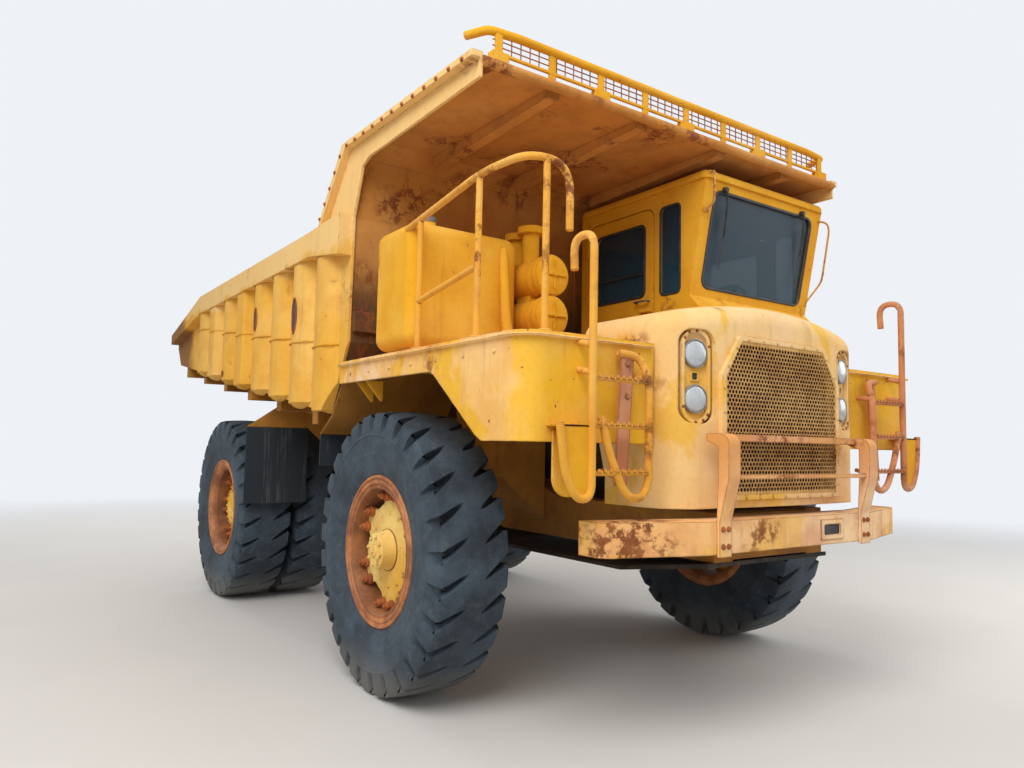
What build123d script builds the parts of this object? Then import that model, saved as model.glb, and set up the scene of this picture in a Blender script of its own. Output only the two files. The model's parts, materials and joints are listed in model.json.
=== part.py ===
"""Rigid dump truck of the 35-ton class, standing empty with its bed down.

Millimetres. X points to the truck's left, where the cab is, Y to its tail and Z up from the
ground. The origin is on the ground, in the middle of the truck's length and width.
"""

import os
from math import atan2, cos, degrees, pi, radians, sin, tan

from build123d import *

os.makedirs("parts", exist_ok=True)

# Lengths along the truck
wheelbase = 3710
guard_reach = 1975  # front axle to the face of the brush guard
tail_reach = 2600  # rear axle to the tail of the bed
axle_f = (guard_reach - wheelbase - tail_reach) / 2
axle_r = axle_f + wheelbase

# Fits between pieces
seat_gap = 0.3  # a piece at rest on its seat, or a shaft in its bore
run_gap = 6  # between pieces that move past each other

# Tyres and rims, 18.00-33
tyre_r = 900
tyre_w = 490
tread_w = 440
lug_depth = 42
lugs = 28  # around the tread
lug_share = 0.62  # of the pitch that a lug's top takes
rib_half_w = 55  # middle rib of the tread, half its width
tyre_wide_r = 700  # radius at which the sidewall is widest
bead_r = 425
flange_r = 487
rim_w = 400
rim_lip = 24  # thickness of the rim's flanges
wheel_z = tyre_r
front_wheel_x = 1555
rear_outer_x = 1555
dual_pitch = 530
rear_inner_x = rear_outer_x - dual_pitch

# Wheel hubs
disc_in = 95  # from the rim's outer edge in to the front wheel's disc
disc_t = 35
hub_face_r = 290
hub_boss_r = 120
hub_boss_out = 95
hub_cap_r = 75
hub_cap_out = 25
disc_holes = 6
disc_hole_r = 42
disc_hole_pcd = 700
rear_hub_r = 290
rear_hub_in = 150  # from the outer rim's edge in to the face of the final drive
final_cover_r = 190
final_cover_t = 45
spindle_r = 135
bearing_l = 90

# Steering knuckles and suspension struts
kingpin_x = 1020
strut_r = 135
strut_low = 1290
strut_top = 1960
strut_rod_r = 98
knuckle_r = 150
knuckle_low = 720
knuckle_top = 1060
steer_arm_l = 330
steer_arm_z = 800
arm_t = 60

# Main frame
rail_x = 430  # centre of each rail
rail_w = 160
rail_low_f = 960
rail_top_f = 1240
rail_low_r = 1220
rail_top_r = 1620
rail_rise_f = axle_f + 350
rail_rise_r = axle_f + 1500
frame_overhang = 180  # rails behind the bed pivot
horn_z = 1560
horn_h = 380
horn_d = 300
horn_ring = 45  # wall of the horn around the strut
post_x = 760  # post under the deck, on top of the horn
post_w = 90

# Rear tow clevis
hitch_z = 1400
hitch_gap = 90
hitch_t = 35
hitch_out = 130
hitch_lug_r = 100
hitch_pin_r = 32

# Bed pivot and hoist
pivot_y = axle_r + 1010
pivot_z = 1760
pivot_r = 55
pivot_boss_r = 115
pivot_lug_w = 80
ear_t = 34
hoist_x = 640
hoist_low_y = axle_r - 710
hoist_low_z = 800
hoist_top_y = axle_r - 860
hoist_top_z = 1970
hoist_pin_r = 35
hoist_eye_r = 75
hoist_eye_w = 90
hoist_foot_t = 60  # plate under the rail that holds the lower pin
hoist_ear_t = 30
barrel_r = 110
sleeve_r = 88
hoist_rod_r = 66
barrel_end = 170  # from the top pin down to the barrel's mouth

# Rear axle
axle_tube_r = 175
axle_tube_x = 720
banjo_r = 330
banjo_w = 420
drop_arm_l = 1150
drop_arm_w = 300
arm_hang_z = 1290  # cross member that carries the arm's front end
rear_strut_x = 605
rear_strut_r = 82

# Bed, lowered
bed_half_w = 1830
side_inset = 125  # from the top rail's outer face to the side sheet's inner face
bed_inner_x = bed_half_w - side_inset
side_t = 20
floor_t = 60
floor_slope = 8.25
floor_low_y = axle_f + 950  # where the sloping floor meets the chin plate
floor_low_z = 1865  # top of the floor there
chin_z = 2330  # below this the front wall slopes back to the floor
bed_front_y = axle_f + 660
front_t = 30
front_beam_z = 2480  # beam across the front wall
rail_z = 3255  # top of the side walls' top rail
rail_h = 200
rail_d = side_inset - 5
rail_head_h = 290  # depth of the rail at its head, by the cab
rail_head_l = 600
knee_y = axle_f + 4790
tail_y = axle_r + tail_reach
tail_top_z = 2950
beam_w = 150
beam_x = rail_x
bearers = 6  # cross beams under the floor
bearer_w = 120
bearer_h = 130
bearer_end = 350  # from the floor's ends to the first and last

# Ribs of the bed's side walls
rib_first_y = axle_f + 1035
rib_pitch = 530
rib_count = 8
rib_w = 420
rib_depth = 95
flat_ribs = (5, 7)  # counted from the front, pressed flat instead of round

# Canopy over the cab
canopy_y = axle_f - 1060
canopy_z = 3815  # top of the canopy's edge
canopy_h = 150
canopy_t = 25
cheek_foot_y = axle_f + 1250
cheek_knee_y = axle_f + 780
cheek_in = (axle_f + 640, axle_f + 510, axle_f + 400)
cheek_x = bed_half_w - 50
lip_r = 32

# Canopy rail
crest_y = canopy_y + 30
crest_z = 3990
crest_r = 26
crest_x = bed_half_w - 190
crest_posts = 9
crest_post_w = 50
crest_post_t = 12
mesh_wire = 6
mesh_cell = 75

# Bumper and brush guard
guard_lean = 80  # the guard's top stands this far ahead of the bumper
bumper_y = axle_f - guard_reach + guard_lean  # face between the guard posts
bumper_sweep = 160
bumper_end_y = bumper_y + bumper_sweep  # the ends are swept back
bumper_d = 190
bumper_z = 1042
bumper_h = 175
bumper_half = 1365
bumper_bevel = 55
bumper_slot = (170, 62)
bumper_slot_x = 330
slot_frame = 28
guard_x = 665
guard_w = 95
guard_t = 20
guard_d = 70
guard_back = 150  # how far the posts' tops bend back
guard_top = 1680
guard_low = 1030
guard_bar_h = 40
guard_thin_z = 1450

# Nose and hood
nose_half = 920
nose_y = bumper_y + 95  # middle of the nose's front face
nose_rear_y = axle_f - 1055
nose_low = 1270
nose_top = 2450
nose_edge_z = 2335
nose_t = 25
nose_arch_y = axle_f - 1250  # behind this the hood's sides stop above the tyres
nose_arch_z = 1860
nose_bulge = 55
nose_corner = 240
nose_brow = 120  # radius along the top edge of the front and the sides

# Grille and lamps
grille_top = (404, 2242)
grille_mid = (560, 2012)
grille_low = (552, 1313)
grille_t = 10
grille_frame = 26
grille_hole_r = 27
grille_pitch = 78
lamp_x = 705
lamp_z = (2120, 1868)
lamp_r = 88
lamp_lens_r = 74
bezel_w = 230
bezel_h = 520
bezel_t = 26

# Fender decks
deck_half = 1800
deck_z = 2165
deck_t = 35
deck_front_y = bumper_end_y + 100
deck_rear_y = axle_f + 610
fender_t = 22
fender_low = 1615
skirt_z = 2010
skirt_knee_y = axle_f - 755
skirt_foot_y = axle_f - 1215
fender_corner = 150

# Deck tank and air cleaners
tank_x = 1745
tank_w = 840
tank_y = axle_f - 335
tank_d = 540
tank_z = 2205
tank_h = 815
tank_edge = 85
filler_r = 58
cleaner_x = 752
cleaner_z = (2480, 2762)
cleaner_r = 132
cleaner_y = axle_f - 505
cleaner_l = 520
cap_r = 95

# Handrails and ladders
tube_r = 21
hand_z = 3090
hand_x = 1735
ladder_x = 1260
ladder_half = 195
ladder_y = bumper_end_y - 10
ladder_low = 1345
ladder_rungs = (1465, 1700, 1935)
ladder_hook_z = 2670

# Cab
cab_in_x = 300
cab_out_x = 1720
cab_rear_y = axle_f + 420
cab_cowl_y = axle_f - 1050
cab_sill_y = axle_f - 790
cab_brow_y = axle_f - 955
cab_cowl_z = 2450
cab_sill_z = 2725
cab_top = 3560
cab_wall = 42
roof_t = 70
roof_lip = 18
roof_round = 55
glass_t = 8
door_w = 760
door_y = axle_f - 440  # latch edge
door_low = 2235
door_h = 1230
door_round = 90
door_gap = 8
door_t = 38
hinge_r = 14
hinge_l = 110
hinge_out = 16  # hinge line's distance from the skin
hinge_inset = 200  # from the door's top and bottom
hinge_leaf = 90
hinge_lug = 24
quarter_w = 200
quarter_y = axle_f - 505
rear_window = (1020, 480)
screen_margin = (230, 140)  # windshield's opening less than the cab's width and the screen's height
cut_reach = 100

# Guards and flaps
splash_y = axle_f + 1080  # foot of the sloping splash plate
splash_low = 1650
splash_knee = (axle_f + 870, 1790)  # bend just below the bed's chin
splash_in = 760
flap_t = 12
front_flap_low = 1410
rear_guard_y = axle_r - tyre_r - 95
rear_guard_z = 1720
rear_guard_top = 1965
guard_arm_z = 1345  # arm from the frame rail, ahead of the hoist cylinder
guard_arm_h = 90
rear_flap_low = 1005
flap_out = 1830
flap_in = 1235
plate_t = 10

# Engine and belly guard
engine_w = 620
engine_l = 1750
engine_h = 950
engine_low = rail_low_f + 180  # on the cross member at the front axle
engine_y = axle_f - 1150
radiator_w = 1150
radiator_t = 140
belly_t = 25
belly_z = 830
belly_half = 560


def floor_z(y):
    """Height of the bed floor's top at a station along the truck."""
    return floor_low_z + (y - floor_low_y) * tan(radians(floor_slope))


def bar(points, radius, bend):
    """A round bar through the points, its corners bent to one radius."""
    with BuildLine() as line:
        if len(points) > 2:
            FilletPolyline(*points, radius=bend)
        else:
            Line(*points)
    with BuildSketch(Plane(origin=line.line @ 0, z_dir=line.line % 0)) as section:
        Circle(radius)
    sweep(sections=section.sketch, path=line.line)


def across(x, y, z):
    """Plane through a wheel or pin centre that holds the truck's X and Z."""
    return Plane(origin=(x, y, z), x_dir=(1, 0, 0), z_dir=(0, -1, 0))


def side_plane(x, y=0, z=0):
    """Plane facing +X, its own axes along the truck's Y and Z."""
    return Plane(origin=(x, y, z), x_dir=(0, 1, 0), z_dir=(1, 0, 0))


# Frame: two box rails with the ears of the bed pivot, the hoist's feet and seats for the struts
frame_front_y = bumper_y + bumper_d
frame_rear_y = pivot_y + frame_overhang
rail_out_x = rail_x + rail_w / 2
rear_strut_y = axle_r + 310
with BuildPart() as main_frame:
    for side in (-1, 1):
        with BuildSketch(side_plane(side * rail_x - rail_w / 2)):
            Polygon(
                (frame_front_y, rail_low_f),
                (rail_rise_f, rail_low_f),
                (rail_rise_r, rail_low_r),
                (frame_rear_y, rail_low_r),
                (frame_rear_y, rail_top_r),
                (rail_rise_r, rail_top_r),
                (rail_rise_f, rail_top_r - 150),
                (axle_f - 300, rail_top_f),
                (frame_front_y, rail_top_f),
                align=None,
            )
        extrude(amount=rail_w)
        # pivot ears, one at each face of the rail, with the pin between them
        for ear_x in (side * rail_x - rail_w / 2, side * rail_x + rail_w / 2 - ear_t):
            with BuildSketch(side_plane(ear_x)):
                with Locations((pivot_y, pivot_z)):
                    Circle(pivot_boss_r)
                Polygon(
                    (pivot_y - 2 * pivot_boss_r, rail_top_r),
                    (pivot_y + pivot_boss_r, rail_top_r),
                    (pivot_y + pivot_boss_r, pivot_z),
                    (pivot_y - pivot_boss_r, pivot_z),
                    align=None,
                )
            extrude(amount=ear_t)
        with BuildSketch(side_plane(side * rail_x - rail_w / 2, pivot_y, pivot_z)):
            Circle(pivot_r)
        extrude(amount=rail_w)
        # foot of the hoist: a plate down from the rail and the pin in it
        with BuildSketch(side_plane(side * rail_out_x)):
            with Locations((hoist_low_y, hoist_low_z)):
                Circle(hoist_eye_r + 15)
            Polygon(
                (hoist_low_y - 190, rail_low_r + 60),
                (hoist_low_y - hoist_eye_r - 15, hoist_low_z),
                (hoist_low_y + hoist_eye_r + 15, hoist_low_z),
                (hoist_low_y + 190, rail_low_r + 60),
                align=None,
            )
        extrude(amount=-side * hoist_foot_t)
        with BuildSketch(side_plane(side * (rail_out_x - hoist_foot_t), hoist_low_y, hoist_low_z)):
            Circle(hoist_pin_r)
        extrude(amount=side * (hoist_x + hoist_eye_w / 2 + 30 - rail_out_x + hoist_foot_t))
        # seat of the rear strut
        seat_half = (rear_strut_x + rear_strut_r - rail_x) / 2
        with Locations((side * (rail_x + seat_half), rear_strut_y, rail_top_r - 40)):
            Box(2 * seat_half, 200, 80)
main_frame.part.label = "main_frame"
export_step(main_frame.part, "parts/main_frame.step")

# Cross members between the rails, the last one with the clevis for towing
member_w = 2 * (rail_x - rail_w / 2)
with BuildPart() as cross_members:
    # station, height, half height, half length
    for y, z, half_h, half_l in (
        (frame_front_y + 90, rail_low_f + 140, 130, 90),
        (axle_f, engine_low - 80, 80, 150),
        (rail_rise_r + 300, (rail_low_r + rail_top_r) / 2, 130, 110),
        (axle_r - drop_arm_l + 60, (arm_hang_z + rail_top_r) / 2 - 20, (rail_top_r - arm_hang_z) / 2 - 20, 120),
        (rear_strut_y, rail_top_r - 120, 90, 110),
        ((pivot_y - 130 + frame_rear_y) / 2, hitch_z, 165, (frame_rear_y - pivot_y + 130) / 2),
    ):
        with Locations((0, y, z)):
            Box(member_w, 2 * half_l, 2 * half_h)
    for z in (hitch_z + hitch_gap / 2, hitch_z - hitch_gap / 2 - hitch_t):
        with BuildSketch(Plane((0, frame_rear_y, z))):
            with Locations((0, hitch_out)):
                Circle(hitch_lug_r)
            with Locations((0, hitch_out / 2 - hitch_t / 2)):
                Rectangle(2 * hitch_lug_r, hitch_out + hitch_t)
        extrude(amount=hitch_t)
    with BuildSketch(Plane((0, frame_rear_y + hitch_out, hitch_z - hitch_gap))):
        Circle(hitch_pin_r)
    extrude(amount=2 * hitch_gap, mode=Mode.SUBTRACT)
cross_members.part.label = "cross_members"
export_step(cross_members.part, "parts/cross_members.step")

# Bumper with swept ends, and the brush guard bolted to its face
with BuildPart() as front_bumper:
    with BuildSketch(Plane.XY.offset(bumper_z)):
        Polygon(
            (-bumper_half, bumper_end_y + bumper_bevel),
            (-bumper_half + bumper_bevel, bumper_end_y),
            (-guard_x - guard_w, bumper_y),
            (guard_x + guard_w, bumper_y),
            (bumper_half - bumper_bevel, bumper_end_y),
            (bumper_half, bumper_end_y + bumper_bevel),
            (bumper_half, bumper_end_y + bumper_d),
            (guard_x + guard_w, bumper_y + bumper_d),
            (-guard_x - guard_w, bumper_y + bumper_d),
            (-bumper_half, bumper_end_y + bumper_d),
            align=None,
        )
    extrude(amount=bumper_h)
    slot_z = bumper_z + bumper_h / 2
    with BuildSketch(Plane.XZ.offset(-bumper_y)):
        with Locations((bumper_slot_x, slot_z)):
            Rectangle(bumper_slot[0] + 2 * slot_frame, bumper_slot[1] + 2 * slot_frame)
    extrude(amount=slot_frame / 4)
    with BuildSketch(Plane.XZ.offset(-bumper_y + slot_frame)):
        with Locations((bumper_slot_x, slot_z)):
            RectangleRounded(*bumper_slot, 12)
    extrude(amount=-bumper_d / 2, mode=Mode.SUBTRACT)
    for side in (-1, 1):
        # post: flat bar up the bumper's face, leaning out, its top bent back to the bars
        with BuildSketch(side_plane(side * guard_x - guard_w / 2)) as post:
            with BuildLine() as post_line:
                FilletPolyline(
                    (bumper_y - guard_t, guard_low),
                    (bumper_y - guard_t, bumper_z + bumper_h),
                    (axle_f - guard_reach, guard_thin_z),
                    (axle_f - guard_reach, guard_top),
                    (axle_f - guard_reach + guard_back, guard_top),
                    radius=60,
                )
                Polyline(
                    (axle_f - guard_reach + guard_back, guard_top),
                    (axle_f - guard_reach + guard_back, guard_top - guard_bar_h),
                    (axle_f - guard_reach + guard_d, guard_top - guard_bar_h - 30),
                    (axle_f - guard_reach + guard_d, guard_thin_z),
                    (bumper_y, bumper_z + bumper_h + 40),
                    (bumper_y, guard_low),
                    (bumper_y - guard_t, guard_low),
                )
            make_face()
        extrude(amount=guard_w)
    for y, z, depth, tall in (
        (axle_f - guard_reach + guard_back - 30, guard_top - guard_bar_h / 2, 60, guard_bar_h),
        (axle_f - guard_reach + guard_d / 2, guard_thin_z, 24, 24),
    ):
        with Locations((0, y, z)):
            Box(2 * guard_x, depth, tall)
front_bumper.part.label = "front_bumper"
export_step(front_bumper.part, "parts/front_bumper.step")

# Nose and hood: a wide barrel of sheet with rounded corners, open behind and below
with BuildPart() as nose:
    with BuildSketch(Plane.XY.offset(nose_low)) as plan:
        with BuildLine():
            corner_y = nose_y + nose_bulge
            Polyline(
                (-nose_half, corner_y),
                (-nose_half, nose_rear_y),
                (nose_half, nose_rear_y),
                (nose_half, corner_y),
            )
            ThreePointArc((nose_half, corner_y), (0, nose_y), (-nose_half, corner_y))
        make_face()
        fillet(plan.vertices().group_by(Axis.Y)[0], nose_corner)
    extrude(amount=nose_top - nose_low)
    with BuildSketch(Plane.XZ.offset(-nose_y + 100)) as face:
        with BuildLine():
            ThreePointArc((-nose_half, nose_edge_z), (0, nose_top), (nose_half, nose_edge_z))
            Polyline(
                (nose_half, nose_edge_z),
                (nose_half, nose_low),
                (-nose_half, nose_low),
                (-nose_half, nose_edge_z),
            )
        make_face()
    extrude(amount=nose_y - nose_rear_y - 200, mode=Mode.INTERSECT)
    brow = nose.edges().filter_by(Axis.Z, reverse=True).filter_by_position(Axis.Z, nose_low + 1, nose_top)
    fillet(brow.filter_by_position(Axis.Y, nose_y - 1, nose_rear_y - 1), nose_brow)
    offset(
        amount=-nose_t,
        openings=[nose.faces().sort_by(Axis.Z)[0], nose.faces().sort_by(Axis.Y)[-1]],
    )
    # the sides stop above the steered tyres
    with BuildSketch(side_plane(-nose_half - 10)):
        Polygon(
            (nose_arch_y, nose_low - 10),
            (nose_arch_y, nose_low + 150),
            (nose_arch_y + 120, nose_arch_z),
            (nose_rear_y + 10, nose_arch_z),
            (nose_rear_y + 10, nose_low - 10),
            align=None,
        )
    extrude(amount=2 * nose_half + 20, mode=Mode.SUBTRACT)
    # opening behind the grille
    with BuildSketch(Plane.XZ.offset(-nose_y - 200)):
        Polygon(
            *((x - grille_frame, z) for x, z in (grille_top, grille_mid, grille_low)),
            *((grille_frame - x, z) for x, z in (grille_low, grille_mid, grille_top)),
            align=None,
        )
    extrude(amount=400, mode=Mode.SUBTRACT)
    # openings for the lamp bezels
    with BuildSketch(Plane.XZ.offset(-nose_y - 200)):
        for side in (-1, 1):
            with Locations((side * lamp_x, sum(lamp_z) / 2)):
                RectangleRounded(bezel_w, bezel_h, bezel_w / 3)
    extrude(amount=400, mode=Mode.SUBTRACT)
nose.part.label = "nose"
export_step(nose.part, "parts/nose.step")

# Grille: a perforated plate in a flat frame, bolted on the nose
grille_rim = [grille_top, grille_mid, grille_low]
grille_rim += [(-x, z) for x, z in reversed(grille_rim)]
with BuildPart() as grille:
    # the frame's back follows the sheet's curve
    with BuildSketch(Plane.XZ.offset(-nose_y)) as rim:
        Polygon(*grille_rim, align=None)
        offset(amount=-grille_frame, mode=Mode.SUBTRACT)
    extrude(amount=-nose_bulge)
    add(nose.part, mode=Mode.SUBTRACT)
    with BuildSketch(Plane.XZ.offset(-nose_y)):
        Polygon(*grille_rim, align=None)
    extrude(amount=grille_t)
    rows = int((grille_top[1] - grille_low[1] - 2 * grille_frame) / (grille_pitch * 0.866))
    with BuildSketch(Plane.XZ.offset(-nose_y + grille_t)) as holes:
        for row in range(rows):
            z = grille_low[1] + 1.6 * grille_frame + row * grille_pitch * 0.866
            if z < grille_mid[1]:
                half = grille_low[0] - 2 * grille_frame
            else:
                part_up = (z - grille_mid[1]) / (grille_top[1] - grille_mid[1])
                half = grille_mid[0] + (grille_top[0] - grille_mid[0]) * part_up - 2.2 * grille_frame
            count = int(2 * half / grille_pitch) // 2 * 2 + row % 2
            with Locations((0, z)):
                with GridLocations(grille_pitch, 1, count, 1):
                    RegularPolygon(grille_hole_r, 4)
    extrude(amount=-2 * grille_t, mode=Mode.SUBTRACT)
grille.part.label = "grille"
export_step(grille.part, "parts/grille.step")

# Headlamps: two lamps one above the other in an oblong bezel on each side of the grille
bezel_y = nose_y + nose_bulge * (lamp_x / (nose_half - nose_corner)) ** 2 - bezel_t
with BuildPart() as headlamps:
    for side in (-1, 1):
        middle = (side * lamp_x, sum(lamp_z) / 2)
        with BuildSketch(Plane.XZ.offset(-bezel_y)):
            with Locations(middle):
                RectangleRounded(bezel_w, bezel_h, bezel_w / 3)
        extrude(amount=-bezel_t - nose_t)
        for z in lamp_z:
            with BuildSketch(Plane.XZ.offset(-bezel_y)):
                with Locations((side * lamp_x, z)):
                    Circle(lamp_r)
            extrude(amount=12)
            with BuildSketch(Plane.XZ.offset(-bezel_y + 12)):
                with Locations((side * lamp_x, z)):
                    Circle(lamp_lens_r)
            extrude(amount=-8, mode=Mode.SUBTRACT)
headlamps.part.label = "headlamps"
export_step(headlamps.part, "parts/headlamps.step")

# Engine block, radiator behind the grille and belly guard
with BuildPart() as engine:
    with Locations((0, engine_y + engine_l / 2, engine_low + engine_h / 2)):
        Box(engine_w, engine_l, engine_h)
    # radiator, standing on the rails
    with BuildSketch(Plane((0, engine_y - radiator_t, rail_top_f))):
        Rectangle(radiator_w, radiator_t)
    extrude(amount=nose_edge_z - 60 - rail_top_f)
engine.part.label = "engine"
export_step(engine.part, "parts/engine.step")

with BuildPart() as belly_guard:
    with BuildSketch(side_plane(-belly_half)):
        Polygon(
            (frame_front_y, rail_low_f),
            (frame_front_y, rail_low_f - belly_t),
            (axle_f - 1000, belly_z),
            (axle_f + 500, belly_z),
            (rail_rise_f + 500, rail_low_f - belly_t),
            (rail_rise_f + 500, rail_low_f),
            (axle_f + 500, belly_z + belly_t),
            (axle_f - 1000, belly_z + belly_t),
            align=None,
        )
    extrude(amount=2 * belly_half)
belly_guard.part.label = "belly_guard"
export_step(belly_guard.part, "parts/belly_guard.step")

# Fender decks: a deck plate with a skirt, cut away over the tyre, and a rounded front corner
with BuildPart() as deck_right:
    with BuildSketch(Plane.XY.offset(fender_low)) as plan:
        with Locations(((-deck_half - nose_half) / 2, (deck_front_y + deck_rear_y) / 2)):
            Rectangle(deck_half - nose_half, deck_rear_y - deck_front_y)
        fillet(plan.vertices().group_by(Axis.Y)[0].sort_by(Axis.X)[0], fender_corner)
    extrude(amount=deck_z - fender_low)
    with BuildSketch(Plane.XY.offset(fender_low)) as inner:
        with Locations(((-deck_half + fender_t - nose_half + 1) / 2, 0)):
            with Locations((0, (deck_front_y + fender_t + deck_rear_y + 1) / 2)):
                Rectangle(
                    deck_half - fender_t - nose_half + 1, deck_rear_y + 1 - deck_front_y - fender_t
                )
        fillet(inner.vertices().group_by(Axis.Y)[0].sort_by(Axis.X)[0], fender_corner - fender_t)
    extrude(amount=deck_z - deck_t - fender_low, mode=Mode.SUBTRACT)
    with BuildSketch(side_plane(-deck_half - 1)):
        Polygon(
            (deck_rear_y + 1, fender_low - 1),
            (deck_rear_y + 1, skirt_z),
            (skirt_knee_y + 60, skirt_z),
            (skirt_knee_y, skirt_z - 20),
            (skirt_foot_y, fender_low + 30),
            (skirt_foot_y - 60, fender_low),
            (skirt_foot_y - 60, fender_low - 1),
            align=None,
        )
    extrude(amount=deck_half, mode=Mode.SUBTRACT)
    # floor over the hood, between the fender and the cab
    with Locations(((cab_in_x - nose_half) / 2, (nose_rear_y + deck_rear_y) / 2, deck_z - deck_t / 2)):
        Box(cab_in_x + nose_half, deck_rear_y - nose_rear_y, deck_t)
    # step plate hung from the front edge
    with BuildSketch(Plane.XZ.offset(-deck_front_y)) as step_plate:
        with Locations((-1520, (fender_low + 60 + ladder_low) / 2)):
            Rectangle(200, fender_low + 60 - ladder_low)
        fillet(step_plate.vertices().group_by(Axis.Y)[0], 95)
    extrude(amount=12)
deck_right.part.label = "deck_right"
export_step(deck_right.part, "parts/deck_right.step")

with BuildPart() as deck_left:
    with BuildSketch(Plane.XY.offset(fender_low)) as plan:
        with Locations(((deck_half + nose_half) / 2, (deck_front_y + deck_rear_y) / 2)):
            Rectangle(deck_half - nose_half, deck_rear_y - deck_front_y)
        fillet(plan.vertices().group_by(Axis.Y)[0].sort_by(Axis.X)[-1], fender_corner)
    extrude(amount=deck_z - fender_low)
    with BuildSketch(Plane.XY.offset(fender_low)) as inner:
        with Locations(((deck_half - fender_t + nose_half - 1) / 2, 0)):
            with Locations((0, (deck_front_y + fender_t + deck_rear_y + 1) / 2)):
                Rectangle(
                    deck_half - fender_t - nose_half + 1, deck_rear_y + 1 - deck_front_y - fender_t
                )
        fillet(inner.vertices().group_by(Axis.Y)[0].sort_by(Axis.X)[-1], fender_corner - fender_t)
    extrude(amount=deck_z - deck_t - fender_low, mode=Mode.SUBTRACT)
    with BuildSketch(side_plane(deck_half + 1)):
        Polygon(
            (deck_rear_y + 1, fender_low - 1),
            (deck_rear_y + 1, skirt_z),
            (skirt_knee_y + 60, skirt_z),
            (skirt_knee_y, skirt_z - 20),
            (skirt_foot_y, fender_low + 30),
            (skirt_foot_y - 60, fender_low),
            (skirt_foot_y - 60, fender_low - 1),
            align=None,
        )
    extrude(amount=-deck_half, mode=Mode.SUBTRACT)
    with Locations(((cab_in_x + nose_half) / 2, (nose_rear_y + deck_rear_y) / 2, deck_z - deck_t / 2)):
        Box(nose_half - cab_in_x, deck_rear_y - nose_rear_y, deck_t)
deck_left.part.label = "deck_left"
export_step(deck_left.part, "parts/deck_left.step")

# Deck tank on two bearers
with BuildPart() as tank:
    with Locations((-tank_x + tank_w / 2, tank_y + tank_d / 2, tank_z + tank_h / 2)):
        Box(tank_w, tank_d, tank_h)
    fillet(tank.edges(), tank_edge)
    for y in (tank_y + 110, tank_y + tank_d - 110):
        with Locations((-tank_x + tank_w / 2, y, (deck_z + tank_z) / 2 + 15)):
            Box(tank_w - 2 * tank_edge, 60, tank_z - deck_z + 30)
    with Locations((-tank_x + 190, tank_y + 150, tank_z + tank_h + 10)):
        Cylinder(filler_r, 60)
tank.part.label = "tank"
export_step(tank.part, "parts/tank.step")

# Air cleaners: two lying drums with covers to the front, on a stand, with rain caps
with BuildPart() as air_cleaners:
    for z in cleaner_z:
        with BuildSketch(Plane.XZ.offset(-cleaner_y)):
            with Locations((-cleaner_x, z)):
                Circle(cleaner_r + 12)
        extrude(amount=-40)
        with BuildSketch(Plane.XZ.offset(-cleaner_y)):
            with Locations((-cleaner_x, z)):
                Circle(cleaner_r)
        extrude(amount=-cleaner_l)
    with Locations((-cleaner_x, cleaner_y + 250, (deck_z + cleaner_z[1]) / 2)):
        Box(120, 160, cleaner_z[1] - deck_z)
    for x, y, top in ((-cleaner_x, cleaner_y + 250, 3120), (-cleaner_x + 20, cleaner_y + 440, 3110)):
        with BuildSketch(Plane.XY.offset(cleaner_z[1])):
            with Locations((x, y)):
                Circle(60)
        extrude(amount=top - cleaner_z[1])
        with Locations((x, y, top)):
            Cylinder(cap_r, 50)
air_cleaners.part.label = "air_cleaners"
export_step(air_cleaners.part, "parts/air_cleaners.step")

# Handrail on the right deck, and a ladder with its grab rail on each side of the nose
with BuildPart() as handrails:
    outer = -hand_x
    bar(
        [
            (outer, tank_y + 80, hand_z),
            (outer, deck_front_y + 90, hand_z),
            (-1450, deck_front_y + 90, hand_z - 30),
            (-1450, deck_front_y + 90, hand_z - 330),
        ],
        tube_r,
        110,
    )
    for x, y in ((outer, tank_y - 90), (outer, deck_front_y + 480), (-1560, deck_front_y + 90)):
        bar([(x, y, deck_z), (x, y, hand_z - 18)], tube_r * 0.8, 0)
    bar([(outer, tank_y - 90, deck_z + 270), (outer, deck_front_y + 480, deck_z + 290)], 16, 0)
    for side in (-1, 1):
        outer_x = side * (ladder_x + ladder_half)
        inner_x = side * (ladder_x - ladder_half)
        bar(
            [
                (outer_x, deck_front_y + 60, ladder_hook_z - 180),
                (outer_x, deck_front_y + 60, ladder_hook_z),
                (outer_x, ladder_y, ladder_hook_z - 60),
                (outer_x, ladder_y, ladder_low),
            ],
            tube_r,
            45,
        )
        bar(
            [
                (inner_x, deck_front_y, deck_z - 60),
                (inner_x, ladder_y, deck_z - 60),
                (inner_x, ladder_y, ladder_low),
            ],
            tube_r,
            45,
        )
        for z in ladder_rungs:
            bar([(inner_x, ladder_y, z), (outer_x, ladder_y, z)], 14, 0)
handrails.part.label = "handrails"
export_step(handrails.part, "parts/handrails.step")

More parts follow.
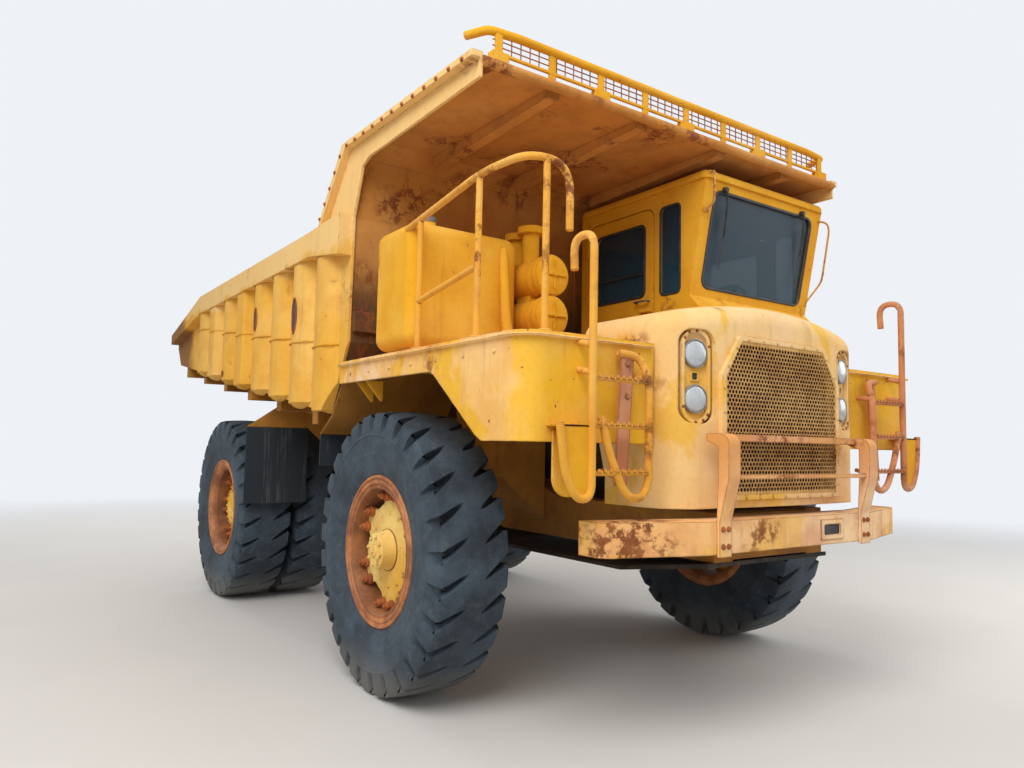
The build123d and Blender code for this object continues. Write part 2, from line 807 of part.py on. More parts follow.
# Cab: floor and walls as one welded shell, leaning windshield, door openings on both sides
cab_mid_x = (cab_in_x + cab_out_x) / 2
cab_w = cab_out_x - cab_in_x
lean = degrees(atan2(cab_sill_y - cab_brow_y, cab_top - cab_sill_z))
screen_h = (cab_top - cab_sill_z) / cos(radians(lean))
screen = Plane(
    origin=(cab_mid_x, (cab_sill_y + cab_brow_y) / 2, (cab_sill_z + cab_top) / 2),
    x_dir=(1, 0, 0),
    z_dir=(0, -cos(radians(lean)), -sin(radians(lean))),
)
hinge_z = (door_low + hinge_inset, door_low + door_h - hinge_inset)
quarter_h = door_low + door_h - cab_sill_z - 60
quarter_z = cab_sill_z + 30 + quarter_h / 2
with BuildPart() as cab_shell:
    for inset, mode in ((0, Mode.ADD), (cab_wall, Mode.SUBTRACT)):
        with BuildSketch(side_plane(cab_in_x + inset)):
            Polygon(
                (cab_rear_y - inset, deck_z + inset),
                (cab_rear_y - inset, cab_top + inset),
                (cab_brow_y + inset, cab_top + inset),
                (cab_sill_y + inset, cab_sill_z),
                (cab_cowl_y + inset, cab_cowl_z),
                (cab_cowl_y + inset, deck_z + inset),
                align=None,
            )
        extrude(amount=cab_w - 2 * inset, mode=mode)
    with BuildSketch(screen):
        RectangleRounded(cab_w - screen_margin[0], screen_h - screen_margin[1], 70)
    extrude(amount=cut_reach, both=True, mode=Mode.SUBTRACT)
    with BuildSketch(Plane.XZ.offset(-cab_rear_y)):
        with Locations((cab_mid_x, quarter_z)):
            RectangleRounded(*rear_window, 60)
    extrude(amount=cut_reach, both=True, mode=Mode.SUBTRACT)
    for x in (cab_in_x, cab_out_x):
        with BuildSketch(side_plane(x)):
            with Locations((door_y + door_w / 2, door_low + door_h / 2)):
                RectangleRounded(door_w, door_h, door_round)
            with Locations((quarter_y - quarter_w / 2, quarter_z)):
                RectangleRounded(quarter_w, quarter_h, 40)
        extrude(amount=cut_reach, both=True, mode=Mode.SUBTRACT)
    # hinge ends above and below each door hinge, on the wall behind the door
    for side, x in ((-1, cab_in_x), (1, cab_out_x)):
        for z in hinge_z:
            for end in (-1, 1):
                lug_z = z + end * (hinge_l / 2 + seat_gap + hinge_lug / 2)
                with Locations((x + side * hinge_out, door_y + door_w, lug_z)):
                    Cylinder(hinge_r, hinge_lug)
                with Locations((x + side * hinge_out / 2, door_y + door_w + 25, lug_z)):
                    Box(hinge_out, 50, hinge_lug)
cab_shell.part.label = "cab_shell"
export_step(cab_shell.part, "parts/cab_shell.step")

with BuildPart() as cab_roof:
    with Locations((cab_mid_x, (cab_brow_y + cab_rear_y) / 2, cab_top + roof_t / 2)):
        Box(cab_w + 2 * roof_lip, cab_rear_y - cab_brow_y + 2 * roof_lip, roof_t)
    fillet(cab_roof.edges().filter_by(Axis.Z), roof_round)
    fillet(cab_roof.faces().sort_by(Axis.Z)[-1].edges(), roof_round - 5)
cab_roof.part.label = "cab_roof"
export_step(cab_roof.part, "parts/cab_roof.step")

# Fixed glass: windshield, rear window and the two quarter windows, let into the walls
with BuildPart() as cab_glass:
    with BuildSketch(screen.offset(-cab_wall / 2)):
        RectangleRounded(cab_w - screen_margin[0], screen_h - screen_margin[1], 70)
    extrude(amount=glass_t)
    with BuildSketch(Plane.XZ.offset(-cab_rear_y + cab_wall / 2)):
        with Locations((cab_mid_x, quarter_z)):
            RectangleRounded(*rear_window, 60)
    extrude(amount=glass_t)
    for x in (cab_in_x + cab_wall / 2, cab_out_x - cab_wall / 2):
        with BuildSketch(side_plane(x)):
            with Locations((quarter_y - quarter_w / 2, quarter_z)):
                RectangleRounded(quarter_w, quarter_h, 40)
        extrude(amount=glass_t / 2, both=True)
cab_glass.part.label = "cab_glass"
export_step(cab_glass.part, "parts/cab_glass.step")

# Doors, hinged at their rear edges
window = (door_w - 200, 570)
window_z = door_low + door_h - 120 - window[1] / 2
leaf_y = door_y + door_w / 2
for side, name in ((-1, "right"), (1, "left")):
    skin_x = cab_in_x if side < 0 else cab_out_x
    with BuildPart() as door:
        with BuildSketch(side_plane(skin_x)):
            with Locations((leaf_y, door_low + door_h / 2)):
                RectangleRounded(
                    door_w - 2 * door_gap, door_h - 2 * door_gap, door_round - door_gap
                )
            with Locations((leaf_y, window_z)):
                RectangleRounded(*window, 60, mode=Mode.SUBTRACT)
        extrude(amount=-side * door_t)
        with Locations((skin_x + side * 25, door_y + 70, door_low + 420)):
            Box(50, 110, 30)
        for z in hinge_z:
            with Locations((skin_x + side * hinge_out, door_y + door_w, z)):
                Cylinder(hinge_r, hinge_l)
            with Locations((skin_x + side * hinge_r / 2, door_y + door_w - door_gap - hinge_leaf / 2, z)):
                Box(hinge_r, hinge_leaf, hinge_l - 20)
    door.part.label = f"door_{name}"
    export_step(door.part, f"parts/door_{name}.step")
    with BuildPart() as pane:
        with BuildSketch(side_plane(skin_x - side * door_t / 2)):
            with Locations((leaf_y, window_z)):
                RectangleRounded(*window, 60)
        extrude(amount=glass_t / 2, both=True)
    pane.part.label = f"door_glass_{name}"
    export_step(pane.part, f"parts/door_glass_{name}.step")

# Seat: two cushions on a pedestal with a back plate
seat_x = cab_mid_x + 60
seat_y = cab_rear_y - 420
seat_z = deck_z + cab_wall + 360
cushion = (520, 500, 120)
backrest = (500, 110, 560)
with BuildPart() as seat_cushions:
    with Locations((seat_x, seat_y, seat_z + cushion[2] / 2)):
        Box(*cushion)
    with Locations((seat_x, seat_y + cushion[1] / 2 + 10, seat_z + 150 + backrest[2] / 2)):
        Box(*backrest)
    fillet(seat_cushions.edges().filter_by(Axis.Z), 40)
seat_cushions.part.label = "seat_cushions"
export_step(seat_cushions.part, "parts/seat_cushions.step")

# Fittings inside the cab: seat frame, dash, steering column and wheel
wheel_tilt = 35
column = Plane(
    origin=(seat_x, cab_sill_y + 330, cab_sill_z + 60),
    x_dir=(1, 0, 0),
    z_dir=(0, sin(radians(wheel_tilt)), cos(radians(wheel_tilt))),
)
with BuildPart() as cab_inside:
    with BuildSketch(Plane((seat_x, seat_y, deck_z + cab_wall))):
        Rectangle(360, 380)
    extrude(amount=360)
    with BuildSketch(Plane((seat_x, seat_y + cushion[1] / 2 + 65 + 15, deck_z + cab_wall + 200))):
        Rectangle(440, 30)
    extrude(amount=760)
    with BuildSketch(Plane((seat_x, seat_y + 215, deck_z + cab_wall + 200))):
        Rectangle(300, 300)
    extrude(amount=40)
    with Locations((cab_mid_x, cab_sill_y + 150, cab_sill_z - 110)):
        Box(cab_w - 2 * cab_wall, 180, 200)
    with BuildSketch(column):
        Circle(28)
    extrude(amount=-520)
    with BuildSketch(column):
        Circle(215)
        Circle(190, mode=Mode.SUBTRACT)
        Rectangle(400, 36)
        Rectangle(36, 400)
    extrude(amount=28)
cab_inside.part.label = "cab_inside"
export_step(cab_inside.part, "parts/cab_inside.step")

# Splash plates behind the front wheels, guards ahead of the rear wheels and their flaps
with BuildPart() as guards:
    for side in (-1, 1):
        # sloping plate from the deck's rear edge down to its flange
        with BuildSketch(side_plane(side * splash_in)):
            Polygon(
                (deck_rear_y, deck_z - deck_t),
                (deck_rear_y + plate_t, deck_z - deck_t),
                (splash_knee[0] + plate_t, splash_knee[1]),
                (splash_y + plate_t, splash_low + 6),
                (splash_y + plate_t, splash_low),
                (splash_y, splash_low),
                (splash_knee[0], splash_knee[1] - 10),
                align=None,
            )
        extrude(amount=side * (deck_half - 60 - splash_in))
        with BuildSketch(Plane.XZ.offset(-rear_guard_y)):
            Polygon(
                (side * splash_in, guard_arm_z - guard_arm_h / 2),
                (side * flap_in, rear_guard_z),
                (side * flap_out, rear_guard_z),
                (side * (flap_in + 240), rear_guard_top),
                (side * splash_in, rear_guard_top - 300),
                align=None,
            )
        extrude(amount=plate_t)
        # arm from the frame rail
        with Locations(
            (side * (rail_x + rail_w / 2 + splash_in + 20) / 2, rear_guard_y + 35, guard_arm_z)
        ):
            Box(splash_in + 20 - rail_x - rail_w / 2, 70, guard_arm_h)
guards.part.label = "guards"
export_step(guards.part, "parts/guards.step")

with BuildPart() as flaps:
    for side in (-1, 1):
        # rear flap hangs behind the guard's lower edge, front flap below the splash plate
        with BuildSketch(Plane.XZ.offset(-rear_guard_y)):
            with Locations((side * (flap_in + flap_out) / 2, (rear_guard_z + rear_flap_low) / 2)):
                Rectangle(flap_out - flap_in, rear_guard_z - rear_flap_low)
        extrude(amount=flap_t)
        with BuildSketch(Plane.XZ.offset(-splash_y)):
            with Locations(
                (side * (splash_in + deck_half - 60) / 2, (splash_low + front_flap_low) / 2)
            ):
                Rectangle(deck_half - 60 - splash_in, splash_low - front_flap_low)
        extrude(amount=-flap_t)
flaps.part.label = "flaps"
export_step(flaps.part, "parts/flaps.step")

# Rear axle: banjo housing, tubes, spindles and the A-shaped arm to the frame
with BuildPart() as rear_axle:
    with BuildSketch(side_plane(-banjo_w / 2, axle_r, wheel_z)):
        Circle(banjo_r)
    extrude(amount=banjo_w)
    with BuildSketch(side_plane(-axle_tube_x, axle_r, wheel_z)):
        Circle(axle_tube_r)
    extrude(amount=2 * axle_tube_x)
    spindle_x = rear_outer_x + rim_w / 2 - rear_hub_in - final_cover_t - 30
    with BuildSketch(side_plane(-spindle_x, axle_r, wheel_z)):
        Circle(spindle_r)
    extrude(amount=2 * spindle_x)
    with BuildSketch(Plane.XY.offset(wheel_z - 120)):
        Polygon(
            (-axle_tube_x + 60, axle_r),
            (axle_tube_x - 60, axle_r),
            (drop_arm_w / 2, axle_r - drop_arm_l),
            (-drop_arm_w / 2, axle_r - drop_arm_l),
            align=None,
        )
        Polygon(
            (-250, axle_r - 330),
            (250, axle_r - 330),
            (0, axle_r - drop_arm_l + 330),
            align=None,
            mode=Mode.SUBTRACT,
        )
    extrude(amount=240)
    with Locations((0, axle_r - drop_arm_l + 60, (wheel_z + arm_hang_z) / 2)):
        Box(220, 160, arm_hang_z - wheel_z)
    for side in (-1, 1):
        with Locations((side * rear_strut_x, rear_strut_y - 70, wheel_z)):
            Box(170, 340, 150)
rear_axle.part.label = "rear_axle"
export_step(rear_axle.part, "parts/rear_axle.step")

# Suspension: horns on the rails hold the front tubes, rear struts between frame and axle
with BuildPart() as struts:
    for side in (-1, 1):
        with BuildSketch(Plane.XZ.offset(horn_d / 2 - axle_f)):
            Polygon(
                (side * rail_out_x, rail_low_f + 100),
                (side * rail_out_x, horn_z + horn_h / 2),
                (side * kingpin_x, horn_z + horn_h / 2),
                (side * kingpin_x, horn_z - horn_h / 2),
                (side * (kingpin_x - strut_r), horn_z - horn_h / 2),
                align=None,
            )
        extrude(amount=-horn_d)
        with BuildSketch(Plane((side * kingpin_x, axle_f, horn_z - horn_h / 2))):
            Circle(strut_r + horn_ring)
        extrude(amount=horn_h)
        with BuildSketch(Plane((side * kingpin_x, axle_f, strut_low))):
            Circle(strut_r)
        extrude(amount=strut_top - strut_low)
        # post that carries the deck
        with BuildSketch(Plane((side * post_x, axle_f, horn_z + horn_h / 2 - 10))):
            Rectangle(post_w, post_w)
        extrude(amount=deck_z - deck_t - horn_z - horn_h / 2 + 10)
        with BuildSketch(Plane((side * rear_strut_x, rear_strut_y, wheel_z + 75))):
            Circle(rear_strut_r)
        extrude(amount=rail_top_r - 80 - wheel_z - 75)
struts.part.label = "struts"
export_step(struts.part, "parts/struts.step")

# Steering knuckles: strut rod, spindle and steering arm
front_hub_in = front_wheel_x + rim_w / 2 - disc_in - disc_t
for side, name in ((-1, "right"), (1, "left")):
    with BuildPart() as knuckle:
        with BuildSketch(Plane((side * kingpin_x, axle_f, knuckle_low))):
            Circle(knuckle_r)
        extrude(amount=knuckle_top - knuckle_low)
        with BuildSketch(Plane((side * kingpin_x, axle_f, knuckle_top))):
            Circle(strut_rod_r)
        extrude(amount=strut_low - seat_gap - knuckle_top)
        with BuildSketch(side_plane(side * kingpin_x, axle_f, wheel_z)):
            Circle(spindle_r)
        extrude(amount=side * (front_hub_in + disc_t + 20 - kingpin_x))
        with Locations((side * (kingpin_x - 60), axle_f + steer_arm_l / 2, steer_arm_z)):
            Box(110, steer_arm_l, arm_t)
    knuckle.part.label = f"knuckle_{name}"
    export_step(knuckle.part, f"parts/knuckle_{name}.step")

# Front wheels: rim, disc with openings and hub in one turned piece, and the tyre
rim_half = rim_w / 2
lug_turn = 2 * pi / lugs
# bands of the carcass: distance from the middle of the tyre, radius of the flats
tyre_bands = [
    (-rim_half, flange_r + 12),
    (-tyre_w / 2, tyre_wide_r),
    (-tread_w / 2, tyre_r - lug_depth),
    (tread_w / 2, tyre_r - lug_depth),
    (tyre_w / 2, tyre_wide_r),
    (rim_half, flange_r + 12),
]


def many_sided(flat_r):
    """Corners of a polygon around the hub, one flat below each lug's middle."""
    corner_r = flat_r / cos(lug_turn / 2)
    turns = [lug_turn * (k + 0.5) - pi / 2 for k in range(lugs)]
    return [(corner_r * cos(a), corner_r * sin(a)) for a in turns]


def lugged(flat_r, low_r, top_share, foot_share):
    """Outline of the tread, seen along the axle, the lugs' tops and feet as shares of the pitch."""
    points = []
    for k in range(lugs):
        for share, r in (
            (-foot_share / 2, low_r),
            (-top_share / 2, flat_r / cos(lug_turn * top_share / 2)),
            (top_share / 2, flat_r / cos(lug_turn * top_share / 2)),
            (foot_share / 2, low_r),
        ):
            a = lug_turn * (k + share) - pi / 2
            points.append((r * cos(a), r * sin(a)))
    return points


def tyre_at(x, y):
    """A tyre on a rim: carcass of flat bands, lugs across the tread and a rib around its middle."""
    sections = []
    for out, flat_r in tyre_bands:
        with BuildSketch(side_plane(x + out, y, wheel_z)) as band:
            Polygon(*many_sided(flat_r), align=None)
        sections.append(band.sketch)
    loft(sections=sections, ruled=True)
    with BuildSketch(side_plane(x - tread_w / 2, y, wheel_z)) as tread:
        Polygon(*lugged(tyre_r, tyre_r - lug_depth - 12, lug_share, lug_share + 0.08), align=None)
    extrude(tread.sketch, amount=tread_w)
    with BuildSketch(side_plane(x - rib_half_w, y, wheel_z)) as rib:
        Polygon(*many_sided(tyre_r - 8), align=None)
    extrude(rib.sketch, amount=2 * rib_half_w)
    # the rim's flanges stand beside the beads
    for out in (-1, 1):
        with BuildSketch(side_plane(x + out * (rim_half - rim_lip - seat_gap), y, wheel_z)) as flange:
            Polygon(*many_sided(flange_r + seat_gap), align=None)
        extrude(flange.sketch, amount=out * 2 * rim_lip, mode=Mode.SUBTRACT)
    with BuildSketch(side_plane(x - rim_half, y, wheel_z)) as seat:
        Polygon(*many_sided(bead_r + seat_gap), align=None)
    extrude(seat.sketch, amount=rim_w, mode=Mode.SUBTRACT)


for side, name in ((-1, "right"), (1, "left")):
    middle = (side * front_wheel_x, axle_f, wheel_z)
    spin = Axis(middle, (1, 0, 0))
    out = side * rim_half
    with BuildPart() as tyre:
        tyre_at(side * front_wheel_x, axle_f)
    tyre.part.label = f"tyre_front_{name}"
    export_step(tyre.part, f"parts/tyre_front_{name}.step")
    disc_x = rim_half - disc_in
    bore = spindle_r + seat_gap
    with BuildPart() as wheel:
        with BuildSketch(across(*middle)):
            Polygon(
                (side * rim_half, flange_r),
                (side * (rim_half - rim_lip), flange_r),
                (side * (rim_half - rim_lip), bead_r),
                (side * (rim_lip - rim_half), bead_r),
                (side * (rim_lip - rim_half), flange_r),
                (side * -rim_half, flange_r),
                (side * -rim_half, flange_r - 40),
                (side * (-rim_half + 50), bead_r - 40),
                (side * (disc_x - disc_t), bead_r - 50),
                (side * (disc_x - disc_t - 60), hub_face_r - 60),
                (side * (disc_x - disc_t - 220), spindle_r + 70),
                (side * (disc_x - disc_t - 220), bore),
                (side * (disc_x + 30), bore),
                (side * (disc_x + 30), 0),
                (side * (disc_x + hub_boss_out), 0),
                (side * (disc_x + hub_boss_out), hub_boss_r),
                (side * disc_x, hub_boss_r + 60),
                (side * disc_x, bead_r - 50),
                (side * (rim_half - 50), bead_r - 40),
                (side * rim_half, flange_r - 50),
                align=None,
            )
        revolve(axis=spin)
    wheel.part.label = f"wheel_front_{name}"
    export_step(wheel.part, f"parts/wheel_front_{name}.step")

# Rear wheels: two rims side by side on one final drive hub, and their tyres
for side, name in ((-1, "right"), (1, "left")):
    hub_middle = (side * rear_outer_x, axle_r, wheel_z)
    spin = Axis(hub_middle, (1, 0, 0))
    with BuildPart() as tyres:
        for x in (rear_inner_x, rear_outer_x):
            tyre_at(side * x, axle_r)
    tyres.part.label = f"tyres_rear_{name}"
    export_step(tyres.part, f"parts/tyres_rear_{name}.step")
    face = rim_half - rear_hub_in
    back = -dual_pitch - rim_half
    with BuildPart() as wheel:
        with BuildSketch(across(*hub_middle)):
            Polygon(
                (side * rim_half, flange_r),
                (side * (rim_half - rim_lip), flange_r),
                (side * (rim_half - rim_lip), bead_r),
                (side * (rim_lip - rim_half), bead_r),
                (side * (rim_lip - rim_half), flange_r),
                (side * -rim_half, flange_r),
                (side * -rim_half, bead_r),
                (side * (rim_half - dual_pitch), bead_r),
                (side * (rim_half - dual_pitch), flange_r),
                (side * (rim_half - dual_pitch - rim_lip), flange_r),
                (side * (rim_half - dual_pitch - rim_lip), bead_r),
                (side * (back + rim_lip), bead_r),
                (side * (back + rim_lip), flange_r),
                (side * back, flange_r),
                (side * back, flange_r - 40),
                (side * (back + 50), bead_r - 40),
                (side * (face - 240), bead_r - 40),
                (side * (face - 260), rear_hub_r - 40),
                (side * (face - 320), spindle_r + 70),
                (side * (face - 320), spindle_r + seat_gap),
                (side * (face - final_cover_t), spindle_r + seat_gap),
                (side * (face - final_cover_t), 0),
                (side * (face + final_cover_t), 0),
                (side * (face + final_cover_t), final_cover_r - 15),
                (side * (face + 10), final_cover_r),
                (side * face, rear_hub_r - 20),
                (side * (face - 30), rear_hub_r),
                (side * (face - 180), rear_hub_r + 10),
                (side * (face - 200), bead_r - 40),
                (side * (rim_half - 50), bead_r - 40),
                (side * rim_half, flange_r - 50),
                align=None,
            )
        revolve(axis=spin)
    wheel.part.label = f"wheel_rear_{name}"
    export_step(wheel.part, f"parts/wheel_rear_{name}.step")

# Bed floor with its two long beams, which rest on the frame and carry the pivot lugs
floor_back_y = tail_y - 200
with BuildPart() as bed_floor:
    with BuildSketch(side_plane(-bed_inner_x)):
        Polygon(
            (floor_low_y, floor_low_z),
            (floor_back_y, floor_z(floor_back_y)),
            (floor_back_y, floor_z(floor_back_y) - floor_t),
            (floor_low_y, floor_low_z - floor_t),
            align=None,
        )
    extrude(amount=2 * bed_inner_x)
    for side in (-1, 1):
        with BuildSketch(side_plane(side * beam_x - beam_w / 2)):
            Polygon(
                (floor_low_y, rail_top_r + seat_gap),
                (pivot_y - 2 * pivot_boss_r - 40, rail_top_r + seat_gap),
                (pivot_y - 2 * pivot_boss_r - 40, floor_z(pivot_y - 2 * pivot_boss_r) - floor_t),
                (floor_low_y, floor_z(floor_low_y) - floor_t),
                align=None,
            )
        extrude(amount=beam_w)
        with BuildSketch(side_plane(side * beam_x - pivot_lug_w / 2)):
            with Locations((pivot_y, pivot_z)):
                Circle(pivot_boss_r)
            Polygon(
                (pivot_y - 2 * pivot_boss_r - 45, pivot_z + 20),
                (pivot_y, pivot_z - pivot_boss_r + 10),
                (pivot_y + pivot_boss_r, pivot_z),
                (pivot_y + 450, floor_z(pivot_y + 450) - floor_t + 5),
                (pivot_y - 2 * pivot_boss_r - 45, floor_z(pivot_y - 2 * pivot_boss_r) - floor_t + 5),
                align=None,
            )
        extrude(amount=pivot_lug_w)
        with BuildSketch(side_plane(side * beam_x - beam_w / 2 - 1)):
            with Locations((pivot_y, pivot_z)):
                Circle(pivot_r + seat_gap)
        extrude(amount=beam_w + 2, mode=Mode.SUBTRACT)
    # cross bearers
    bearer_pitch = (floor_back_y - floor_low_y - 2 * bearer_end) / (bearers - 1)
    for k in range(bearers):
        y = floor_low_y + bearer_end + k * bearer_pitch
        with Locations((0, y, floor_z(y) - floor_t - bearer_h / 2 + 5)):
            Box(2 * bed_inner_x, bearer_w, bearer_h)
bed_floor.part.label = "bed_floor"
export_step(bed_floor.part, "parts/bed_floor.step")

# Ears under the bed floor, two for each hoist cylinder's upper eye
ear_foot = 160
with BuildPart() as hoist_ears:
    for side in (-1, 1):
        for face in (-1, 1):
            near_x = side * hoist_x + face * (hoist_eye_w / 2 + run_gap)
            with BuildSketch(side_plane(near_x)):
                with Locations((hoist_top_y, hoist_top_z)):
                    Circle(hoist_eye_r)
                Polygon(
                    (hoist_top_y - hoist_eye_r, hoist_top_z),
                    (hoist_top_y + hoist_eye_r, hoist_top_z),
                    (hoist_top_y + ear_foot, floor_z(hoist_top_y + ear_foot) - floor_t),
                    (hoist_top_y - ear_foot, floor_z(hoist_top_y - ear_foot) - floor_t),
                    align=None,
                )
                with Locations((hoist_top_y, hoist_top_z)):
                    Circle(hoist_pin_r, mode=Mode.SUBTRACT)
            extrude(amount=face * hoist_ear_t)
hoist_ears.part.label = "hoist_ears"
export_step(hoist_ears.part, "parts/hoist_ears.step")

# Bed sides: sheet, top rail, eight ribs and the cheek that rises to the canopy
with BuildPart() as bed_side_right:
    with BuildSketch(side_plane(-bed_inner_x)):
        Polygon(
            (bed_front_y, chin_z),
            (floor_low_y, floor_low_z - floor_t),
            (floor_back_y, floor_z(floor_back_y) - floor_t),
            (tail_y, tail_top_z - 160),
            (tail_y, tail_top_z),
            (knee_y, rail_z),
            (cheek_foot_y, rail_z),
            (cheek_knee_y, canopy_z + 20),
            (canopy_y, canopy_z),
            (canopy_y, canopy_z - canopy_h),
            (cheek_in[2], canopy_z - canopy_h - 20),
            (cheek_in[1], canopy_z - canopy_h - 60),
            (cheek_in[0], rail_z),
            align=None,
        )
    extrude(amount=-side_t)
    # top rail, deeper at its head
    with BuildSketch(side_plane(-bed_half_w)):
        Polygon(
            (bed_front_y, rail_z + 20),
            (bed_front_y, rail_z - rail_head_h),
            (bed_front_y + rail_head_l, rail_z - rail_h),
            (knee_y, rail_z - rail_h),
            (tail_y - 60, tail_top_z - 120),
            (tail_y - 60, tail_top_z),
            (knee_y, rail_z),
            (cheek_foot_y, rail_z),
            align=None,
        )
    extrude(amount=rail_d)
    # flange along the cheek
    with BuildSketch(side_plane(-cheek_x)):
        Polygon(
            (cheek_foot_y, rail_z),
            (cheek_knee_y, canopy_z + 20),
            (canopy_y, canopy_z),
            (canopy_y, canopy_z - 40),
            (cheek_knee_y - 60, canopy_z - 20),
            (cheek_foot_y - 60, rail_z),
            align=None,
        )
    extrude(amount=cheek_x - bed_inner_x)
    for k in range(rib_count):
        y = rib_first_y + k * rib_pitch
        low = floor_z(y) - floor_t + 10
        high = rail_z - rail_h if k else rail_z - rail_h - 40
        with BuildSketch(Plane.XY.offset(low)):
            with BuildLine():
                x = -bed_inner_x - side_t
                if k + 1 in flat_ribs:
                    Polyline(
                        (x, y - rib_w / 2),
                        (x - rib_depth, y - rib_w / 4),
                        (x - rib_depth, y + rib_w / 4),
                        (x, y + rib_w / 2),
                    )
                else:
                    ThreePointArc((x, y - rib_w / 2), (x - rib_depth, y), (x, y + rib_w / 2))
                Line((x, y + rib_w / 2), (x, y - rib_w / 2))
            make_face()
        extrude(amount=high - low)
    # nothing stands ahead of the sloping chin
    with BuildSketch(side_plane(-bed_half_w - 1)):
        Polygon(
            (bed_front_y - 100, chin_z),
            (bed_front_y, chin_z),
            (floor_low_y, floor_low_z - floor_t),
            (bed_front_y - 100, floor_low_z - floor_t),
            align=None,
        )
    extrude(amount=rib_depth + side_t + 10, mode=Mode.SUBTRACT)
bed_side_right.part.label = "bed_side_right"
export_step(bed_side_right.part, "parts/bed_side_right.step")

with BuildPart() as bed_side_left:
    mirror(bed_side_right.part, about=Plane.YZ)
bed_side_left.part.label = "bed_side_left"
export_step(bed_side_left.part, "parts/bed_side_left.step")

# Bed front wall and canopy: one bent sheet, stiffened by channels
with BuildPart() as canopy:
    with BuildSketch(side_plane(-bed_inner_x)):
        Polygon(
            (floor_low_y, floor_low_z - floor_t),
            (floor_low_y, floor_low_z + front_t),
            (bed_front_y + front_t, chin_z + front_t / 2),
            (bed_front_y + front_t, rail_z),
            (cheek_in[1] + front_t + 60, canopy_z - 120),
            (cheek_in[2] + 40, canopy_z - 20),
            (canopy_y, canopy_z - 20),
            (canopy_y, canopy_z - 20 - canopy_t),
            (cheek_in[2], canopy_z - 20 - canopy_t),
            (cheek_in[1] + 60, canopy_z - 130),
            (bed_front_y, rail_z),
            (bed_front_y, chin_z),
            align=None,
        )
    extrude(amount=2 * bed_inner_x)
    # stiffeners under the canopy
    for x in (-1150, -400, 400, 1150):
        with BuildSketch(side_plane(x - 45)):
            Polygon(
                (cheek_in[2] + 20, canopy_z - 20 - canopy_t),
                (canopy_y + 60, canopy_z - 20 - canopy_t),
                (canopy_y + 60, canopy_z - 20 - canopy_t - 50),
                (cheek_in[2], canopy_z - 20 - canopy_t - 95),
                align=None,
            )
        extrude(amount=90)
    # channels up the front wall
    for x in (-1300, -450, 450, 1300):
        with Locations((x, bed_front_y - 20, (chin_z + rail_z) / 2)):
            Box(110, 40, rail_z - chin_z - 60)
    with Locations((0, bed_front_y - 20, front_beam_z)):
        Box(2 * bed_inner_x - 20, 40, 150)
    # front lip
    with BuildSketch(side_plane(-bed_inner_x, canopy_y, canopy_z - 20 - lip_r)):
        Circle(lip_r)
    extrude(amount=2 * bed_inner_x)
canopy.part.label = "canopy"
export_step(canopy.part, "parts/canopy.step")

# Rail along the canopy's front edge, with wire mesh between its posts
with BuildPart() as canopy_rail:
    bar(
        [
            (-crest_x - 60, crest_y + 170, crest_z + 10),
            (-crest_x, crest_y + 20, crest_z),
            (-crest_x + 200, crest_y, crest_z),
            (crest_x - 200, crest_y, crest_z),
            (crest_x, crest_y + 20, crest_z),
            (crest_x + 60, crest_y + 170, crest_z + 10),
        ],
        crest_r,
        60,
    )
    spacing = (2 * crest_x - 120) / (crest_posts - 1)
    for k in range(crest_posts):
        x = (k - (crest_posts - 1) / 2) * spacing
        with Locations((x, crest_y, (canopy_z - 20 + crest_z) / 2)):
            Box(crest_post_w, crest_post_t, crest_z - canopy_z + 20)
        if k % 2 == 0:
            with Locations((x, crest_y, canopy_z + 10)):
                Box(110, 60, 60)
    with Locations((0, crest_y, canopy_z + 40)):
        Box(2 * crest_x - 120, 14, 18)
canopy_rail.part.label = "canopy_rail"
export_step(canopy_rail.part, "parts/canopy_rail.step")

